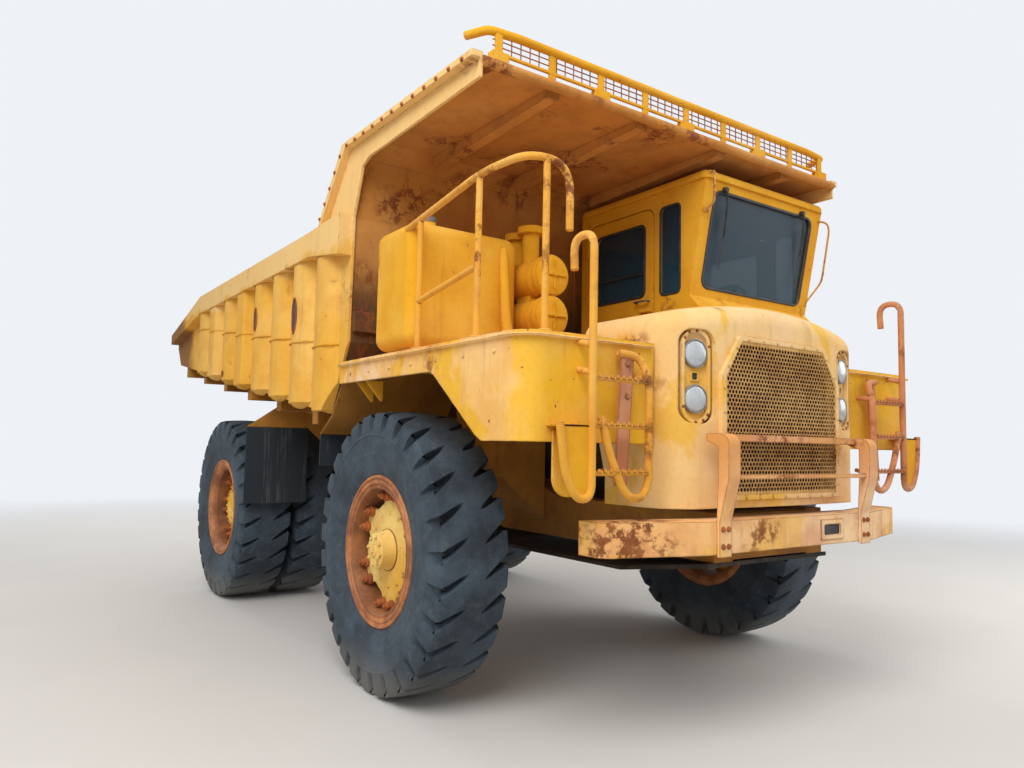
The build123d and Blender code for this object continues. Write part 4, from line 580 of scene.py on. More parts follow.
# Half section from the middle out: across, radius, share of the groove's depth, half its width in pitches
SECTION = np.array([
    (0.000, 0.9000, 0.00, 0.03), (0.030, 0.9000, 0.00, 0.03), (0.052, 0.8995, 0.00, 0.03),
    (0.068, 0.8990, 0.20, 0.05), (0.090, 0.8980, 0.80, 0.085), (0.130, 0.8960, 1.00, 0.12),
    (0.170, 0.8930, 1.00, 0.145), (0.205, 0.8890, 1.00, 0.17), (0.220, 0.8850, 1.00, 0.18),
    (0.228, 0.8740, 0.95, 0.185), (0.236, 0.8400, 0.80, 0.19), (0.241, 0.8050, 0.55, 0.19),
    (0.244, 0.7750, 0.28, 0.185), (0.2455, 0.7580, 0.06, 0.18), (0.2458, 0.7500, 0.00, 0.18),
    (0.2480, 0.7460, 0.00, 0.18), (0.2480, 0.7420, 0.00, 0.18), (0.2455, 0.7380, 0.00, 0.18),
    (0.2455, 0.7000, 0.00, 0.18), (0.2420, 0.6600, 0.00, 0.18), (0.2370, 0.6260, 0.00, 0.18),
    (0.2385, 0.6220, 0.00, 0.18), (0.2360, 0.6180, 0.00, 0.18), (0.2290, 0.5800, 0.00, 0.18),
    (0.2180, 0.5400, 0.00, 0.18), (0.2080, 0.5120, 0.00, 0.18), (0.2010, 0.4900, 0.00, 0.18),
    (0.1750, 0.4890, 0.00, 0.18), (0.1750, 0.4270, 0.00, 0.18),
])  # fmt: skip


def tyre(x_mid, y_mid):
    """Rows follow the section from bead to bead, columns run around. In each pitch five columns follow a
    groove's lips and floor and four the lug; the groove leans across the tread by GROOVE_LEAN, and the two
    shoulders stand half a pitch apart. A groove's points sink along the section's own normal."""
    section = np.concatenate([SECTION[:0:-1] * (-1, 1, 1, 1), SECTION])
    x, r, deep, half = section.T
    flow = unit(np.gradient(section[:, :2], axis=0))
    normal = np.stack([-flow[:, 1], flow[:, 0]], -1)
    wall = np.minimum(0.4 * half, 0.05)[:, None]
    h = half[:, None]
    lips = h * (-1, 0, 0, 0, 1) + wall * (0, 1, 0, -1, 0) + h * (0, -1, 0, 1, 0)
    lug = h + (1 - 2 * h) * (0.1, 0.36, 0.64, 0.9)
    u = np.concatenate([lips, lug], 1)
    sunk = deep[:, None] * np.array([0, 1, 1.08, 1, 0, 0, 0, 0, 0]) * GROOVE_DEPTH
    pitch = 2 * np.pi / GROOVES
    inside = np.clip(x, -0.222, 0.222)
    apart = np.clip((x + 0.06) / 0.12, 0, 1)
    lean = GROOVE_LEAN * inside / TYRE_R + 0.5 * pitch * apart**2 * (3 - 2 * apart)
    turn = (np.arange(GROOVES)[None, :, None] + u[:, None, :]) * pitch + lean[:, None, None]
    turn = turn.reshape(len(x), -1)
    sunk = np.tile(sunk, (1, GROOVES))
    across = x[:, None] - sunk * normal[:, :1]
    radius = r[:, None] - sunk * normal[:, 1:]
    points = np.stack([x_mid + across, y_mid - radius * np.cos(turn), TYRE_R + radius * np.sin(turn)], -1)
    return points.reshape(-1, 3), strips(len(x), turn.shape[1], True, True)


FRONT_X, DUAL_PITCH = 1.555, 0.53  # a front tyre's middle, and the spacing of a rear pair
RIM_HALF = 0.2
for side, name in SIDES:
    piece(
        f"tread_front_{name}", f"front_wheel_{name}",
        [tyre(side * FRONT_X, FRONT_Y)], TYRE, [f"tyre_front_{name}"], 28,
    )  # fmt: skip
    pair = [tyre(side * x, REAR_Y) for x in (FRONT_X, FRONT_X - DUAL_PITCH)]
    piece(f"treads_rear_{name}", f"rear_wheels_{name}", pair, TYRE, [f"tyres_rear_{name}"], 28)


# Wheels

CLAMP_AT, CLAMP_SPREAD = 0.352, math.radians(10)
FRONT_DISC = 0.105  # out from the wheel's middle
REAR_FACE_X = FRONT_X + RIM_HALF - 0.15
COVER_OUT = 0.045  # a rear hub's cover, beyond that face
PLUG = [(0, 0.022), (0.012, 0.022), (0.016, 0.016)]  # small round plug or lock: out, radius
# Rim of a front wheel from the inner flange round: out from the middle, radius
RIM_SECTION = [
    (-0.2, 0.486), (-0.178, 0.486), (-0.174, 0.425), (0.174, 0.425), (0.178, 0.486), (0.2, 0.487),
    (0.207, 0.481), (0.207, 0.465), (0.199, 0.460), (0.199, 0.453), (0.205, 0.448), (0.205, 0.430),
    (0.193, 0.425), (0.193, 0.417), (0.198, 0.411), (0.195, 0.398), (0.168, 0.388), (0.08, 0.383),
    (-0.10, 0.385), (-0.17, 0.402), (-0.2, 0.445),
]  # fmt: skip
# Nut, washer and stud of a rim clamp: out, radius
CLAMP_NUT = [(-0.01, 0.036), (0.016, 0.036), (0.022, 0.031), (0.022, 0.024), (0.046, 0.024), (0.05, 0.02),
             (0.05, 0.012), (0.064, 0.012), (0.067, 0.008)]  # fmt: skip


def spider(side):
    """Hub of a front wheel: rings of points from the boss out to a six-armed edge and back along the plate's
    rear to the drum. The arms reach the barrel where the clamps are, and leave openings between."""
    turn = 2 * np.pi * np.arange(144) / 144
    arm = np.clip(0.5 + 0.85 * np.cos(6 * (turn - np.pi / 6)), 0, 1)
    edge = 0.312 + 0.072 * arm**2 * (3 - 2 * arm)
    rows = [
        (0.228, 0.004), (0.228, 0.036), (0.216, 0.040), (0.214, 0.100), (0.206, 0.112), (0.138, 0.122),
        (0.118, 0.135), (0.112, 0.20), (0.104, 0.27),
    ]  # fmt: skip
    out = [np.full(144, h) for h, _ in rows] + [0 * turn + h for h in (0.105, 0.099, 0.075, 0.070)]
    wide = [np.full(144, r) for _, r in rows] + [edge - 0.008, edge, edge, edge - 0.008]
    for h, r in ((0.066, 0.26), (-0.10, 0.235), (-0.11, 0.20), (-0.11, 0.14)):
        out.append(0 * turn + h)
        wide.append(0 * turn + r)
    out, wide = np.array(out), np.array(wide)
    points = np.stack([
        side * (FRONT_X + out), FRONT_Y + wide * np.cos(turn), TYRE_R + wide * np.sin(turn),
    ], -1)  # fmt: skip
    return points.reshape(-1, 3), capped(len(out), 144)


for side, name in SIDES:
    out = (side, 0, 0)
    front, rear = f"front_wheel_{name}", f"rear_wheels_{name}"
    mid = (side * FRONT_X, FRONT_Y, TYRE_R)
    stands_for = [f"wheel_front_{name}"]
    piece(f"hub_front_{name}", front, [spider(side)], HUB_PAINT, stands_for, 40)
    piece(f"rim_front_{name}", front, [spun(RIM_SECTION, mid, out, 120, True)], RIM_FRONT)
    clamp_nuts = []
    for spread in (-CLAMP_SPREAD, CLAMP_SPREAD):
        at = circle_of(6, CLAMP_AT, (side * (FRONT_X + FRONT_DISC), FRONT_Y, TYRE_R), math.pi / 6 + spread)
        clamp_nuts += [spun(CLAMP_NUT, p, out, 14) for p in at]
    piece(f"clamp_nuts_front_{name}", front, clamp_nuts, RUSTY)
    rear_nuts, rings = [], []
    for spread in (-CLAMP_SPREAD, CLAMP_SPREAD):
        at = circle_of(6, 0.315, (side * REAR_FACE_X, REAR_Y, TYRE_R), spread)
        rear_nuts += [spun(CLAMP_NUT, p, out, 14) for p in at]
    turn = np.linspace(0, 2 * np.pi, 9)[:-1]
    for step_out, r, thick in ((0.002, 0.476, 0.011), (-0.006, 0.452, 0.011), (-0.018, 0.430, 0.009)):
        section = np.stack([step_out + thick * np.cos(turn), r + thick * np.sin(turn)], -1)
        rings.append(spun(section, (side * (FRONT_X + RIM_HALF), REAR_Y, TYRE_R), out, 96, True))
    piece(f"clamp_nuts_rear_{name}", rear, rear_nuts, RUSTY)
    piece(f"rings_rear_{name}", rear, rings, RIM_FRONT)
    boss_x = side * (FRONT_X + 0.214)
    boss = [heads(circle_of(8, 0.088, (boss_x, FRONT_Y, TYRE_R), 0.2), out, 0.0115, 0.012)]
    boss.append(heads(circle_of(12, 0.235, (side * (FRONT_X + 0.106), FRONT_Y, TYRE_R)), out, 0.010, 0.010))
    boss.append(heads([(side * (FRONT_X + 0.228), FRONT_Y, TYRE_R)], out, 0.018, 0.012, 1.0))
    boss.append(spun(PLUG, (boss_x, FRONT_Y - 0.062, TYRE_R - 0.03), out, 16))
    piece(f"boss_bolts_{name}", front, boss, HUB_PAINT)
    drive = [heads(circle_of(24, 0.268, (side * REAR_FACE_X, REAR_Y, TYRE_R)), out, 0.0125, 0.014)]
    cover_x = side * (REAR_FACE_X + COVER_OUT)
    drive.append(heads(circle_of(16, 0.166, (cover_x, REAR_Y, TYRE_R)), out, 0.0115, 0.013))
    drive.append(heads([(cover_x, REAR_Y, TYRE_R - 0.1)], out, 0.019, 0.016, 1.0))
    piece(f"drive_bolts_{name}", rear, drive, HUB_PAINT)


# Nose: perforated grille, frame, lamps

NOSE_Y = -3.9675
GRILLE_OUTLINE = np.array([(0.404, 2.242), (0.56, 2.012), (0.552, 1.313)])
GRILLE_OUTLINE = np.concatenate([GRILLE_OUTLINE, GRILLE_OUTLINE[::-1] * (-1, 1)])
HOLE_PITCH, HOLE_R = 0.0275, 0.0109


def inset_outline(outline, depth):
    """The outline moved inward: each corner goes to where its two sides meet when both move by depth."""
    p = np.asarray(outline)
    before, after = unit(p - np.roll(p, 1, 0)), unit(np.roll(p, -1, 0) - p)
    n0, n1 = before[:, ::-1] * (1, -1), after[:, ::-1] * (1, -1)
    inward = unit(n0 + n1)
    if np.dot(inward[0], p.mean(0) - p[0]) < 0:
        inward = -inward
        n0 = -n0
    return p + inward * depth / np.einsum("ij,ij->i", inward, n0)[:, None]


def inside(points, outline):
    """Which points lie in a convex outline."""
    edge = np.roll(outline, -1, 0) - outline
    turned = [np.cross(e, points - o) for e, o in zip(edge, outline)]
    turned = np.stack(turned)
    return np.all(turned > 0, 0) | np.all(turned < 0, 0)


def perforated(outline, y_front, thick):
    """Six-sided cells on a staggered grid, each a ring of quads around a round hole, front and back, with the
    holes' walls between; cells near the edge stay whole behind the frame."""
    wide, high = HOLE_PITCH, HOLE_PITCH * math.sqrt(3) / 2
    cols, rows = np.arange(-24, 25), np.arange(0, 42)
    cx = (cols[None, :] + 0.5 * (rows[:, None] % 2)) * wide
    cz = 1.30 + rows[:, None] * high + 0 * cx
    cells = np.stack([cx, cz], -1).reshape(-1, 2)
    cells = cells[inside(cells, inset_outline(outline, 0.012))]
    holed = inside(cells, inset_outline(outline, 0.038))
    turn = np.pi / 2 + 2 * np.pi * np.arange(12) / 12
    reach = np.where(np.arange(12) % 2 == 0, wide / math.sqrt(3), wide / 2)
    hexagon = np.stack([np.cos(turn), np.sin(turn)], -1) * reach[:, None]
    circle = np.stack([np.cos(turn), np.sin(turn)], -1) * HOLE_R
    ring = np.concatenate([hexagon, circle])
    flat = (cells[:, None] + ring).reshape(-1, 2)
    count = len(flat)
    points = np.concatenate([
        np.stack([flat[:, 0], np.full(count, y_front), flat[:, 1]], -1),
        np.stack([flat[:, 0], np.full(count, y_front + thick), flat[:, 1]], -1),
    ])  # fmt: skip
    k = np.arange(12)
    front = np.stack([k, (k + 1) % 12, 12 + (k + 1) % 12, 12 + k], -1)
    wall = np.stack([12 + k, 12 + (k + 1) % 12, 12 + (k + 1) % 12 + count, 12 + k + count], -1)
    disc = (12 + k)[None]
    step = 24 * np.arange(len(cells))
    ring_front = (front[None] + step[:, None, None]).reshape(-1, 4)
    walls = (wall[None] + step[holed][:, None, None]).reshape(-1, 4)
    plain = (disc[None] + step[~holed][:, None, None]).reshape(-1, 12)
    # outer walls where a cell has no neighbour
    rounded = np.round(flat / 1e-4).astype(np.int64)
    key = rounded[:, 0] * 1_000_003 + rounded[:, 1]
    first, order = np.unique(key, return_inverse=True)
    edges = (np.stack([k, (k + 1) % 12], -1)[None] + step[:, None, None]).reshape(-1, 2)
    pair = order[edges[:, 0]] * len(first) + order[edges[:, 1]]
    back = order[edges[:, 1]] * len(first) + order[edges[:, 0]]
    open_ = edges[~np.isin(pair, back)]
    sides = np.stack([open_[:, 1], open_[:, 0], open_[:, 0] + count, open_[:, 1] + count], -1)
    return points, [ring_front, ring_front[:, ::-1] + count, walls, plain, plain[:, ::-1] + count, sides]


def flat_to_y(flat, y):
    return np.stack([flat[:, 0], np.full(len(flat), y), flat[:, 1]], -1)


def along_outline(outline, spacing):
    """Points spaced along each side of an outline."""
    out = []
    for a, b in zip(outline, np.roll(outline, -1, 0)):
        count = max(int(np.linalg.norm(b - a) / spacing), 1)
        out.append(a + (b - a) * (np.arange(count)[:, None] + 0.5) / count)
    return np.concatenate(out)


sheet = perforated(GRILLE_OUTLINE, NOSE_Y - 0.008, 0.004)
piece("grille_plate", "frame", [sheet], GRILLE_TAN, ["grille"])
FRAME_Y = NOSE_Y - 0.0115
frame_inner = flat_to_y(inset_outline(GRILLE_OUTLINE, 0.03), FRAME_Y)
bolt_line = along_outline(inset_outline(GRILLE_OUTLINE, 0.015), 0.115)
grille_frame = [rim_of(flat_to_y(GRILLE_OUTLINE, FRAME_Y), frame_inner, (0, 0.066, 0))]
grille_frame.append(heads(flat_to_y(bolt_line, FRAME_Y), (0, -1, 0), 0.0085, 0.007))
piece("grille_frame", "frame", grille_frame, NOSE_PAINT)

FIN_Y = NOSE_Y + 0.105
core = slab(flat_to_y(round_box(1.06, 0.88, 0.02) + (0, 1.775), NOSE_Y + 0.11), (0, 0.05, 0))
fins = [tube([(x, FIN_Y, 1.36), (x, FIN_Y, 2.2)], 0.006, 4) for x in np.linspace(-0.5, 0.5, 41)]
piece("radiator_core", "frame", [core, *fins], BLACK)

LAMP_TURN = math.radians(11)
LAMP_AT = np.array([0.703, NOSE_Y + 0.062, 1.994])
LAMP_STEP = 0.126  # each lamp above or below the bezel's middle
BEZEL_W, BEZEL_H, BEZEL_OUT = 0.196, 0.525, 0.010
rims, lenses, bezels, plate_bolts, socket_shades = [], [], [], [], []
for side in (-1, 1):
    way = np.array([side * math.sin(LAMP_TURN), -math.cos(LAMP_TURN), 0])
    u = np.array([math.cos(LAMP_TURN), side * math.sin(LAMP_TURN), 0])
    v = np.array([0, 0, 1.0])
    seat = LAMP_AT * (side, 1, 1)
    edge = round_box(BEZEL_W, BEZEL_H, BEZEL_W / 2 - 0.004, 10)
    lip = round_box(BEZEL_W - 0.042, BEZEL_H - 0.042, BEZEL_W / 2 - 0.026, 10)
    face = seat + way * BEZEL_OUT
    bezels.append(rim_of(on_plane(edge, face, u, v), on_plane(lip, face, u, v), -0.05 * way))
    floor_plate = round_box(BEZEL_W - 0.01, BEZEL_H - 0.01, BEZEL_W / 2 - 0.01, 10)
    well = seat - way * 0.014
    bezels.append(slab(on_plane(floor_plate, well, u, v), -0.03 * way))
    slot = np.array([(-1, -1), (1, -1), (1, 1), (-1, 1)])
    # A black square at the bottom of the square socket between the two lamps: painted shade inside the
    # socket.
    socket_shades.append(slab(on_plane(slot * 0.019, seat - way * 0.0135, u, v), way * 0.002))
    bezels.append(rim_of(on_plane(slot * 0.026, well, u, v), on_plane(slot * 0.019, well, u, v), way * 0.012))
    for z in (-LAMP_STEP, LAMP_STEP):
        at = seat + (0, 0, z)
        ring = [(-0.02, 0.081), (0.004, 0.081), (0.010, 0.078), (0.010, 0.073), (0.0, 0.071), (-0.02, 0.071)]
        rims.append(spun(ring, at, way, 40, True))
        bulge = np.linspace(1, 0.06, 9) * np.pi / 2
        dome = [(-0.012, 0.0722), *zip(0.002 + 0.020 * np.cos(bulge), 0.0722 * np.sin(bulge))]
        lenses.append(spun(dome, at, way, 40))
    spots = round_box(BEZEL_W - 0.021, BEZEL_H - 0.021, BEZEL_W / 2 - 0.015, 10)
    spots = spots[[0, 9, 13, 16, 20, 29, 33, 36]]
    plate_bolts.append(heads(on_plane(spots, face, u, v), way, 0.007, 0.006))
piece("lamp_bezels", "frame", bezels, NOSE_PAINT, ["headlamps"])
piece("lamp_socket_shades", "frame", socket_shades, BLACK)
piece("lamp_rims", "frame", rims, CHROME)
piece("lamp_lenses", "frame", lenses, LENS)
piece("lamp_bolts", "frame", plate_bolts, RUSTY)


# Cab: gaskets, wipers, handles and seat

CAB_X = (0.3, 1.72)
LEAN = math.atan2(0.165, 0.835)
SCREEN_AT = np.array([1.01, -3.04, 3.1425])
SCREEN_U = np.array([1.0, 0, 0])
SCREEN_V = np.array([0, -math.sin(LEAN), math.cos(LEAN)])
SCREEN_OUT = np.array([0, -math.cos(LEAN), -math.sin(LEAN)])


def gasket(w, h, r, origin, u, v, thick=0.010):
    """A rubber strip around a window, flattened against the wall."""
    out = np.cross(u, v)
    return tube(on_plane(round_box(w, h, r, 8), origin, u, v), thick, 8, True, out, 0.7)


gaskets = [gasket(1.19, 0.711, 0.07, SCREEN_AT + SCREEN_OUT * 0.001, SCREEN_U, SCREEN_V, 0.011)]
gaskets.append(gasket(1.02, 0.48, 0.06, (1.01, -1.7465, 3.095), (1, 0, 0), (0, 0, 1)))
for x in CAB_X:
    gaskets.append(gasket(0.2, 0.68, 0.04, (x, -2.7725, 3.095), (0, 1, 0), (0, 0, 1)))
piece("window_gaskets", "frame", gaskets, BLACK)
for side, x, name in ((-1, 0.3, "right"), (1, 1.72, "left")):
    body = f"door_{name}"
    face = x + side * 0.001
    seals = [gasket(0.56, 0.57, 0.05, (face, -2.227, 3.06), (0, 1, 0), (0, 0, 1), 0.012)]
    seals.append(tube([(face, -2.505, 2.96), (face, -1.95, 2.96)], 0.008, 8))
    piece(f"door_seal_{name}", body, seals, BLACK)
    out = np.array([side, 0, 0])
    held = face + side * 0.045
    grip = bent([(face, -2.56, 2.73), (held, -2.56, 2.73), (held, -2.43, 2.73), (face, -2.43, 2.73)], 0.02)
    latch = [tube(grip, 0.008, 8), spun(PLUG, (face, -2.52, 2.66), out, 20)]
    piece(f"door_latch_{name}", body, latch, STEEL)

wipers = []
for u in (-0.50, 0.44):
    pivot = SCREEN_AT + SCREEN_U * u + SCREEN_V * 0.375 + SCREEN_OUT * 0.002
    wipers.append(spun([(-0.01, 0.022), (0.026, 0.022), (0.034, 0.014)], pivot, SCREEN_OUT, 20))
    foot = SCREEN_AT + SCREEN_U * (u + 0.045) + SCREEN_V * 0.04 + SCREEN_OUT * 0.022
    for apart in (-0.007, 0.007):
        shift = SCREEN_U * apart
        elbow = (pivot + foot) / 2 + SCREEN_OUT * 0.022 + shift
        wipers.append(tube([pivot + SCREEN_OUT * 0.03 + shift, elbow, foot + shift], 0.0035, 6))
    blade = [foot + SCREEN_V * s + SCREEN_OUT * -0.005 for s in np.linspace(-0.25, 0.22, 7)]
    wipers.append(tube(blade, 0.007, 6, hint=SCREEN_OUT, flat=0.6))
piece("wipers", "frame", wipers, BLACK)

ARM_LEFT = [
    (1.70, -3.105, 3.50), (1.745, -3.16, 3.48), (1.765, -3.165, 3.42),
    (1.765, -3.09, 3.0), (1.70, -2.97, 2.82),
]  # fmt: skip
HANDLE = [(0.34, -3.135, 3.60), (0.30, -3.20, 3.59), (0.29, -3.205, 3.36), (0.325, -3.10, 3.33)]
arms = [tube(bent(ARM_LEFT, 0.05), 0.008, 8), tube(bent(HANDLE, 0.035), 0.009, 8)]
for x, y, z in (ARM_LEFT[0], ARM_LEFT[-1], HANDLE[0], HANDLE[-1]):
    arms.append(slab(flat_to_y(round_box(0.05, 0.035, 0.008) + (x, z), y - 0.004), (0, 0.012, 0)))
piece("mirror_arms", "frame", arms, RAIL_PAINT)


def crowned(low, high, crown, rows=22, cols=28):
    """A cushion: a rounded box whose faces swell by crown in their middles and whose edges keep a seam."""
    a = np.linspace(-np.pi / 2, np.pi / 2, rows)[1:-1, None]
    b = np.linspace(-np.pi, np.pi, cols, endpoint=False)[None]

    def power(v, p):
        return np.sign(v) * np.abs(v) ** p

    x = power(np.cos(a), 0.35) * power(np.cos(b), 0.28)
    y = power(np.cos(a), 0.35) * power(np.sin(b), 0.28)
    z = power(np.sin(a), 0.6) + 0 * b
    swell = 1 + crown * (1 - x**2) * (1 - y**2)
    pull = 1 - 0.035 * (np.abs(x) * np.abs(y)) ** 2
    unit_box = np.stack([x * pull, y * pull, z * swell / (1 + crown)], -1).reshape(-1, 3)
    low, high = np.array(low), np.array(high)
    return (low + high) / 2 + unit_box * (high - low) / 2, capped(rows - 2, cols)


def channels(points, axis, across, spacing, deep):
    """Sewn channels: the front surface sinks by deep along lines spaced evenly across the cushion."""
    out = points.copy()
    mid = points[:, axis].mean()
    wave = np.abs(np.sin(np.pi * (points[:, across] - points[:, across].mean()) / spacing))
    out[:, axis] -= np.sign(points[:, axis] - mid) * deep * np.exp(-((wave / 0.22) ** 2))
    return out


base, base_faces = crowned((0.812, -2.418, 2.569), (1.328, -1.92, 2.686), 0.25, 40, 64)
back, back_faces = crowned((0.822, 2.72, 1.853), (1.318, 3.276, 1.961), 0.25, 40, 64)
back = np.stack([back[:, 0], -back[:, 2], back[:, 1]], -1)
pads = [
    (channels(base, 2, 1, 0.1, 0.008), base_faces),
    (channels(back, 1, 2, 0.1, 0.008), back_faces),
]
cushions = piece("seat_pads", "frame", pads, VINYL, ["seat_cushions"], 60)


# Bumper, bed and deck fittings

BUMPER_FACE = -4.0625
POST_X = 0.665  # middle of a guard post
bumper = []
for side in (-1, 1):
    for z in (1.085, 1.175):
        pair = [(side * POST_X + dx, BUMPER_FACE - 0.02, z) for dx in (-0.022, 0.022)]
        bumper.append(heads(pair, (0, -1, 0), 0.012, 0.012))
piece("bumper_bolts", "frame", bumper, RUSTY)

# Ribs of the bed, counted from 0 at the front
RIB_FIRST, RIB_STEP, RIB_HALF, RIB_OUT = FRONT_Y + 1.035, 0.53, 0.21, 0.095
FLAT_RIBS = (4, 6)
CHEEK = [(1.22, 3.30), (0.76, 3.80), (-1.03, 3.788)]  # behind the front axle, height

welds, cheek_bolts = [], []
for side in (-1, 1):
    for k in range(8):
        turn = np.linspace(-1, 1, 13)
        if k in FLAT_RIBS:
            bulge = np.interp(np.abs(turn), [0, 0.5, 1], [RIB_OUT, RIB_OUT, 0])
        else:
            bulge = RIB_OUT * np.sqrt(np.clip(1 - turn**2, 0, 1))
        x, y = side * (1.727 + bulge), RIB_FIRST + RIB_STEP * k + RIB_HALF * turn
        for z in (3.052, 2.32 + 0.077 * k):
            welds.append(bead(np.stack([x, y, np.full(13, z)], -1), 0.006))
    cheek = np.array([(side * 1.782, FRONT_Y + back, z) for back, z in CHEEK])
    for start, end, count in ((cheek[0], cheek[1], 5), (cheek[1], cheek[2], 12)):
        spots = start + (end - start) * (np.arange(count)[:, None] + 0.5) / count
        cheek_bolts.append(heads(spots, (side, 0, 0), 0.011, 0.010))
piece("bed_welds", "bed", welds, PAINT)
piece("cheek_bolts", "bed", cheek_bolts, RUSTY)

# Holes in the ribs: black sheets set in them are painted shade for the dark inside, with rusty rings round
# their edges.
hole_shades, mark_rings = [], []
for k, z, w, h in ((1, 2.62, 0.10, 0.30), (3, 2.72, 0.085, 0.22), (5, 2.28, 0.06, 0.06)):
    turn = 2 * np.pi * np.arange(24) / 24
    across = 0.5 * w * np.cos(turn)
    bulge = RIB_OUT * np.sqrt(1 - (across / RIB_HALF) ** 2)
    y = RIB_FIRST + RIB_STEP * k + across
    hole = np.stack([-(1.7265 + bulge), y, z + 0.5 * h * np.sin(turn)], -1)
    mark_rings.append(tube(hole, 0.007, 6, True, (1, 0, 0)))
    hole_shades.append(slab(hole, (0.01, 0, 0)))
piece("rib_hole_shades", "bed", hole_shades, BLACK)
piece("rib_hole_edges", "bed", mark_rings, RUSTY)

# Rounded feet under the ribs of the bed
WALL_X, FOOT_H = 1.725, 0.085
FLOOR_SLOPE = (2.613 - 1.865) / (3.943 + 1.217)


def rib_foot(side, k):
    """A rib's section carried down: it shrinks to its wall line as the cosine of an angle, while its drop
    grows as the sine."""
    y = RIB_FIRST + RIB_STEP * k
    top = 1.855 + (y + 1.217) * FLOOR_SLOPE
    v = np.linspace(-1, 1, 21)
    swell = np.clip(2 * (1 - np.abs(v)), 0, 1) if k in FLAT_RIBS else 1 - v**2
    angle = np.linspace(0, 1.48, 10)[:, None]
    shrink, drop = np.cos(angle), FOOT_H * np.sin(angle)
    x = side * (WALL_X + RIB_OUT * swell * shrink)
    points = np.stack([x, y + RIB_HALF * v * shrink, top - drop + 0 * v], -1)
    back = points[:, ::-1] * (0, 1, 1) + (side * (WALL_X - 0.004), 0, 0)
    return np.concatenate([points, back], 1).reshape(-1, 3), capped(10, 42)


for side, name in SIDES:
    piece(f"rib_feet_{name}", "bed", [rib_foot(side, k) for k in range(1, 8)], BED_PAINT)

# Rails and ladders
TUBE_R = 0.021
ROD_R, POST_R = TUBE_R * 0.8, TUBE_R * 0.9
LADDER_Y, LADDER_IN, LADDER_OUT = -3.9125, 1.065, 1.455
LADDER_LOW = 1.345
BAR_Y = LADDER_Y + 0.06
PLATE_OUT, PLATE_TOP = 0.2, 1.70  # the side plate's reach beyond the outer rail, and its flat top
# Paths beside a rail: step outward, step back, height
HOOK = [
    (0, 0.15, 2.50), (0, 0.16, 2.67), (0, 0, 2.67), (0, 0, LADDER_LOW), (0.10, 0, LADDER_LOW - 0.005),
    (PLATE_OUT - 0.03, 0, 1.47), (PLATE_OUT, 0.004, PLATE_TOP + 0.01),
]  # fmt: skip
INNER_RAIL = [
    (0.16, 0.07, 2.085), (0.02, 0.05, 2.075), (0, 0, 1.95), (0, 0, 1.40), (0.07, 0, 1.325),
    (0.17, 0, 1.36), (0.27, 0, 1.55), (0.33, 0, 1.74),
]  # fmt: skip
SIDE_PLATE = [
    (0, 0, PLATE_TOP), (0, 0, LADDER_LOW + 0.01), (0.10, 0, LADDER_LOW + 0.01),
    (PLATE_OUT - 0.03, 0, 1.47), (PLATE_OUT, 0, PLATE_TOP),
]  # fmt: skip
SHELF = [(0, 0, PLATE_TOP), (PLATE_OUT, 0, PLATE_TOP), (PLATE_OUT, 0.14, PLATE_TOP), (0, 0.14, PLATE_TOP)]
BAR = [(1.115, 2.10), (1.20, 2.10), (1.245, 1.40), (1.16, 1.40)]


def beside(side, x, path):
    return [(x + side * a, LADDER_Y + b, z) for a, b, z in path]


for side, name in SIDES:
    outer, inner = side * LADDER_OUT, side * LADDER_IN
    rails = [tube(bent(beside(side, outer, HOOK), 0.085, 8), TUBE_R, 12)]
    rails.append(tube(bent(beside(side, inner, INNER_RAIL), 0.07, 8), TUBE_R, 12))
    ends = np.array([(outer, LADDER_Y, 0), (inner, LADDER_Y, 0)])
    for z in (1.465, 1.70, 1.935):
        rails.append(tube(ends + (0, 0, z), ROD_R, 10, flat=0.75))
        for k in np.linspace(-0.16, 0.16, 9):
            tooth = [((outer + inner) / 2 + k, LADDER_Y - 0.018, z + 0.008)]
            rails.append(heads(tooth, (0, 0, 1), 0.008, 0.014))
    for x, start, end in ((outer, 1.96, 1.99), (outer, 2.10, 2.13), (inner, 1.96, 1.97)):
        rails.append(tube([(x, LADDER_Y, start), (x, LADDER_Y + 0.14, end)], ROD_R, 10))
    finish = RAIL_PAINT if side < 0 else RAIL_RUSTY
    piece(f"ladder_{name}", "frame", rails, finish, ["handrails"], 50)
    bar = [slab([(side * x, BAR_Y, z) for x, z in BAR], (0, 0.012, 0))]
    bar.append(heads([(side * 1.165, BAR_Y, z) for z in (2.03, 1.86)], (0, -1, 0), 0.012, 0.01))
    stay_x = side * 1.20
    bar.append(tube([(stay_x, LADDER_Y + 0.07, 1.43), (stay_x, LADDER_Y + 0.21, 1.47)], 0.014, 8))
    piece(f"ladder_bar_{name}", "frame", bar, RAIL_RUSTY)
    plate = [slab(bent(beside(side, outer, SIDE_PLATE), 0.03, 8), (0, 0.010, 0))]
    plate.append(slab(beside(side, outer, SHELF), (0, 0, -0.008)))
    piece(f"ladder_plate_{name}", "frame", plate, CAB_PAINT)

# Bumper slot: a black sheet just behind the bumper face, painted shade for the dark inside of the slot
slot = flat_to_y(round_box(0.17, 0.062, 0.012) + (0.33, 1.1295), BUMPER_FACE + 0.004)
piece("bumper_slot_painted_shade", "frame", [slab(slot, (0, 0.01, 0))], BLACK)

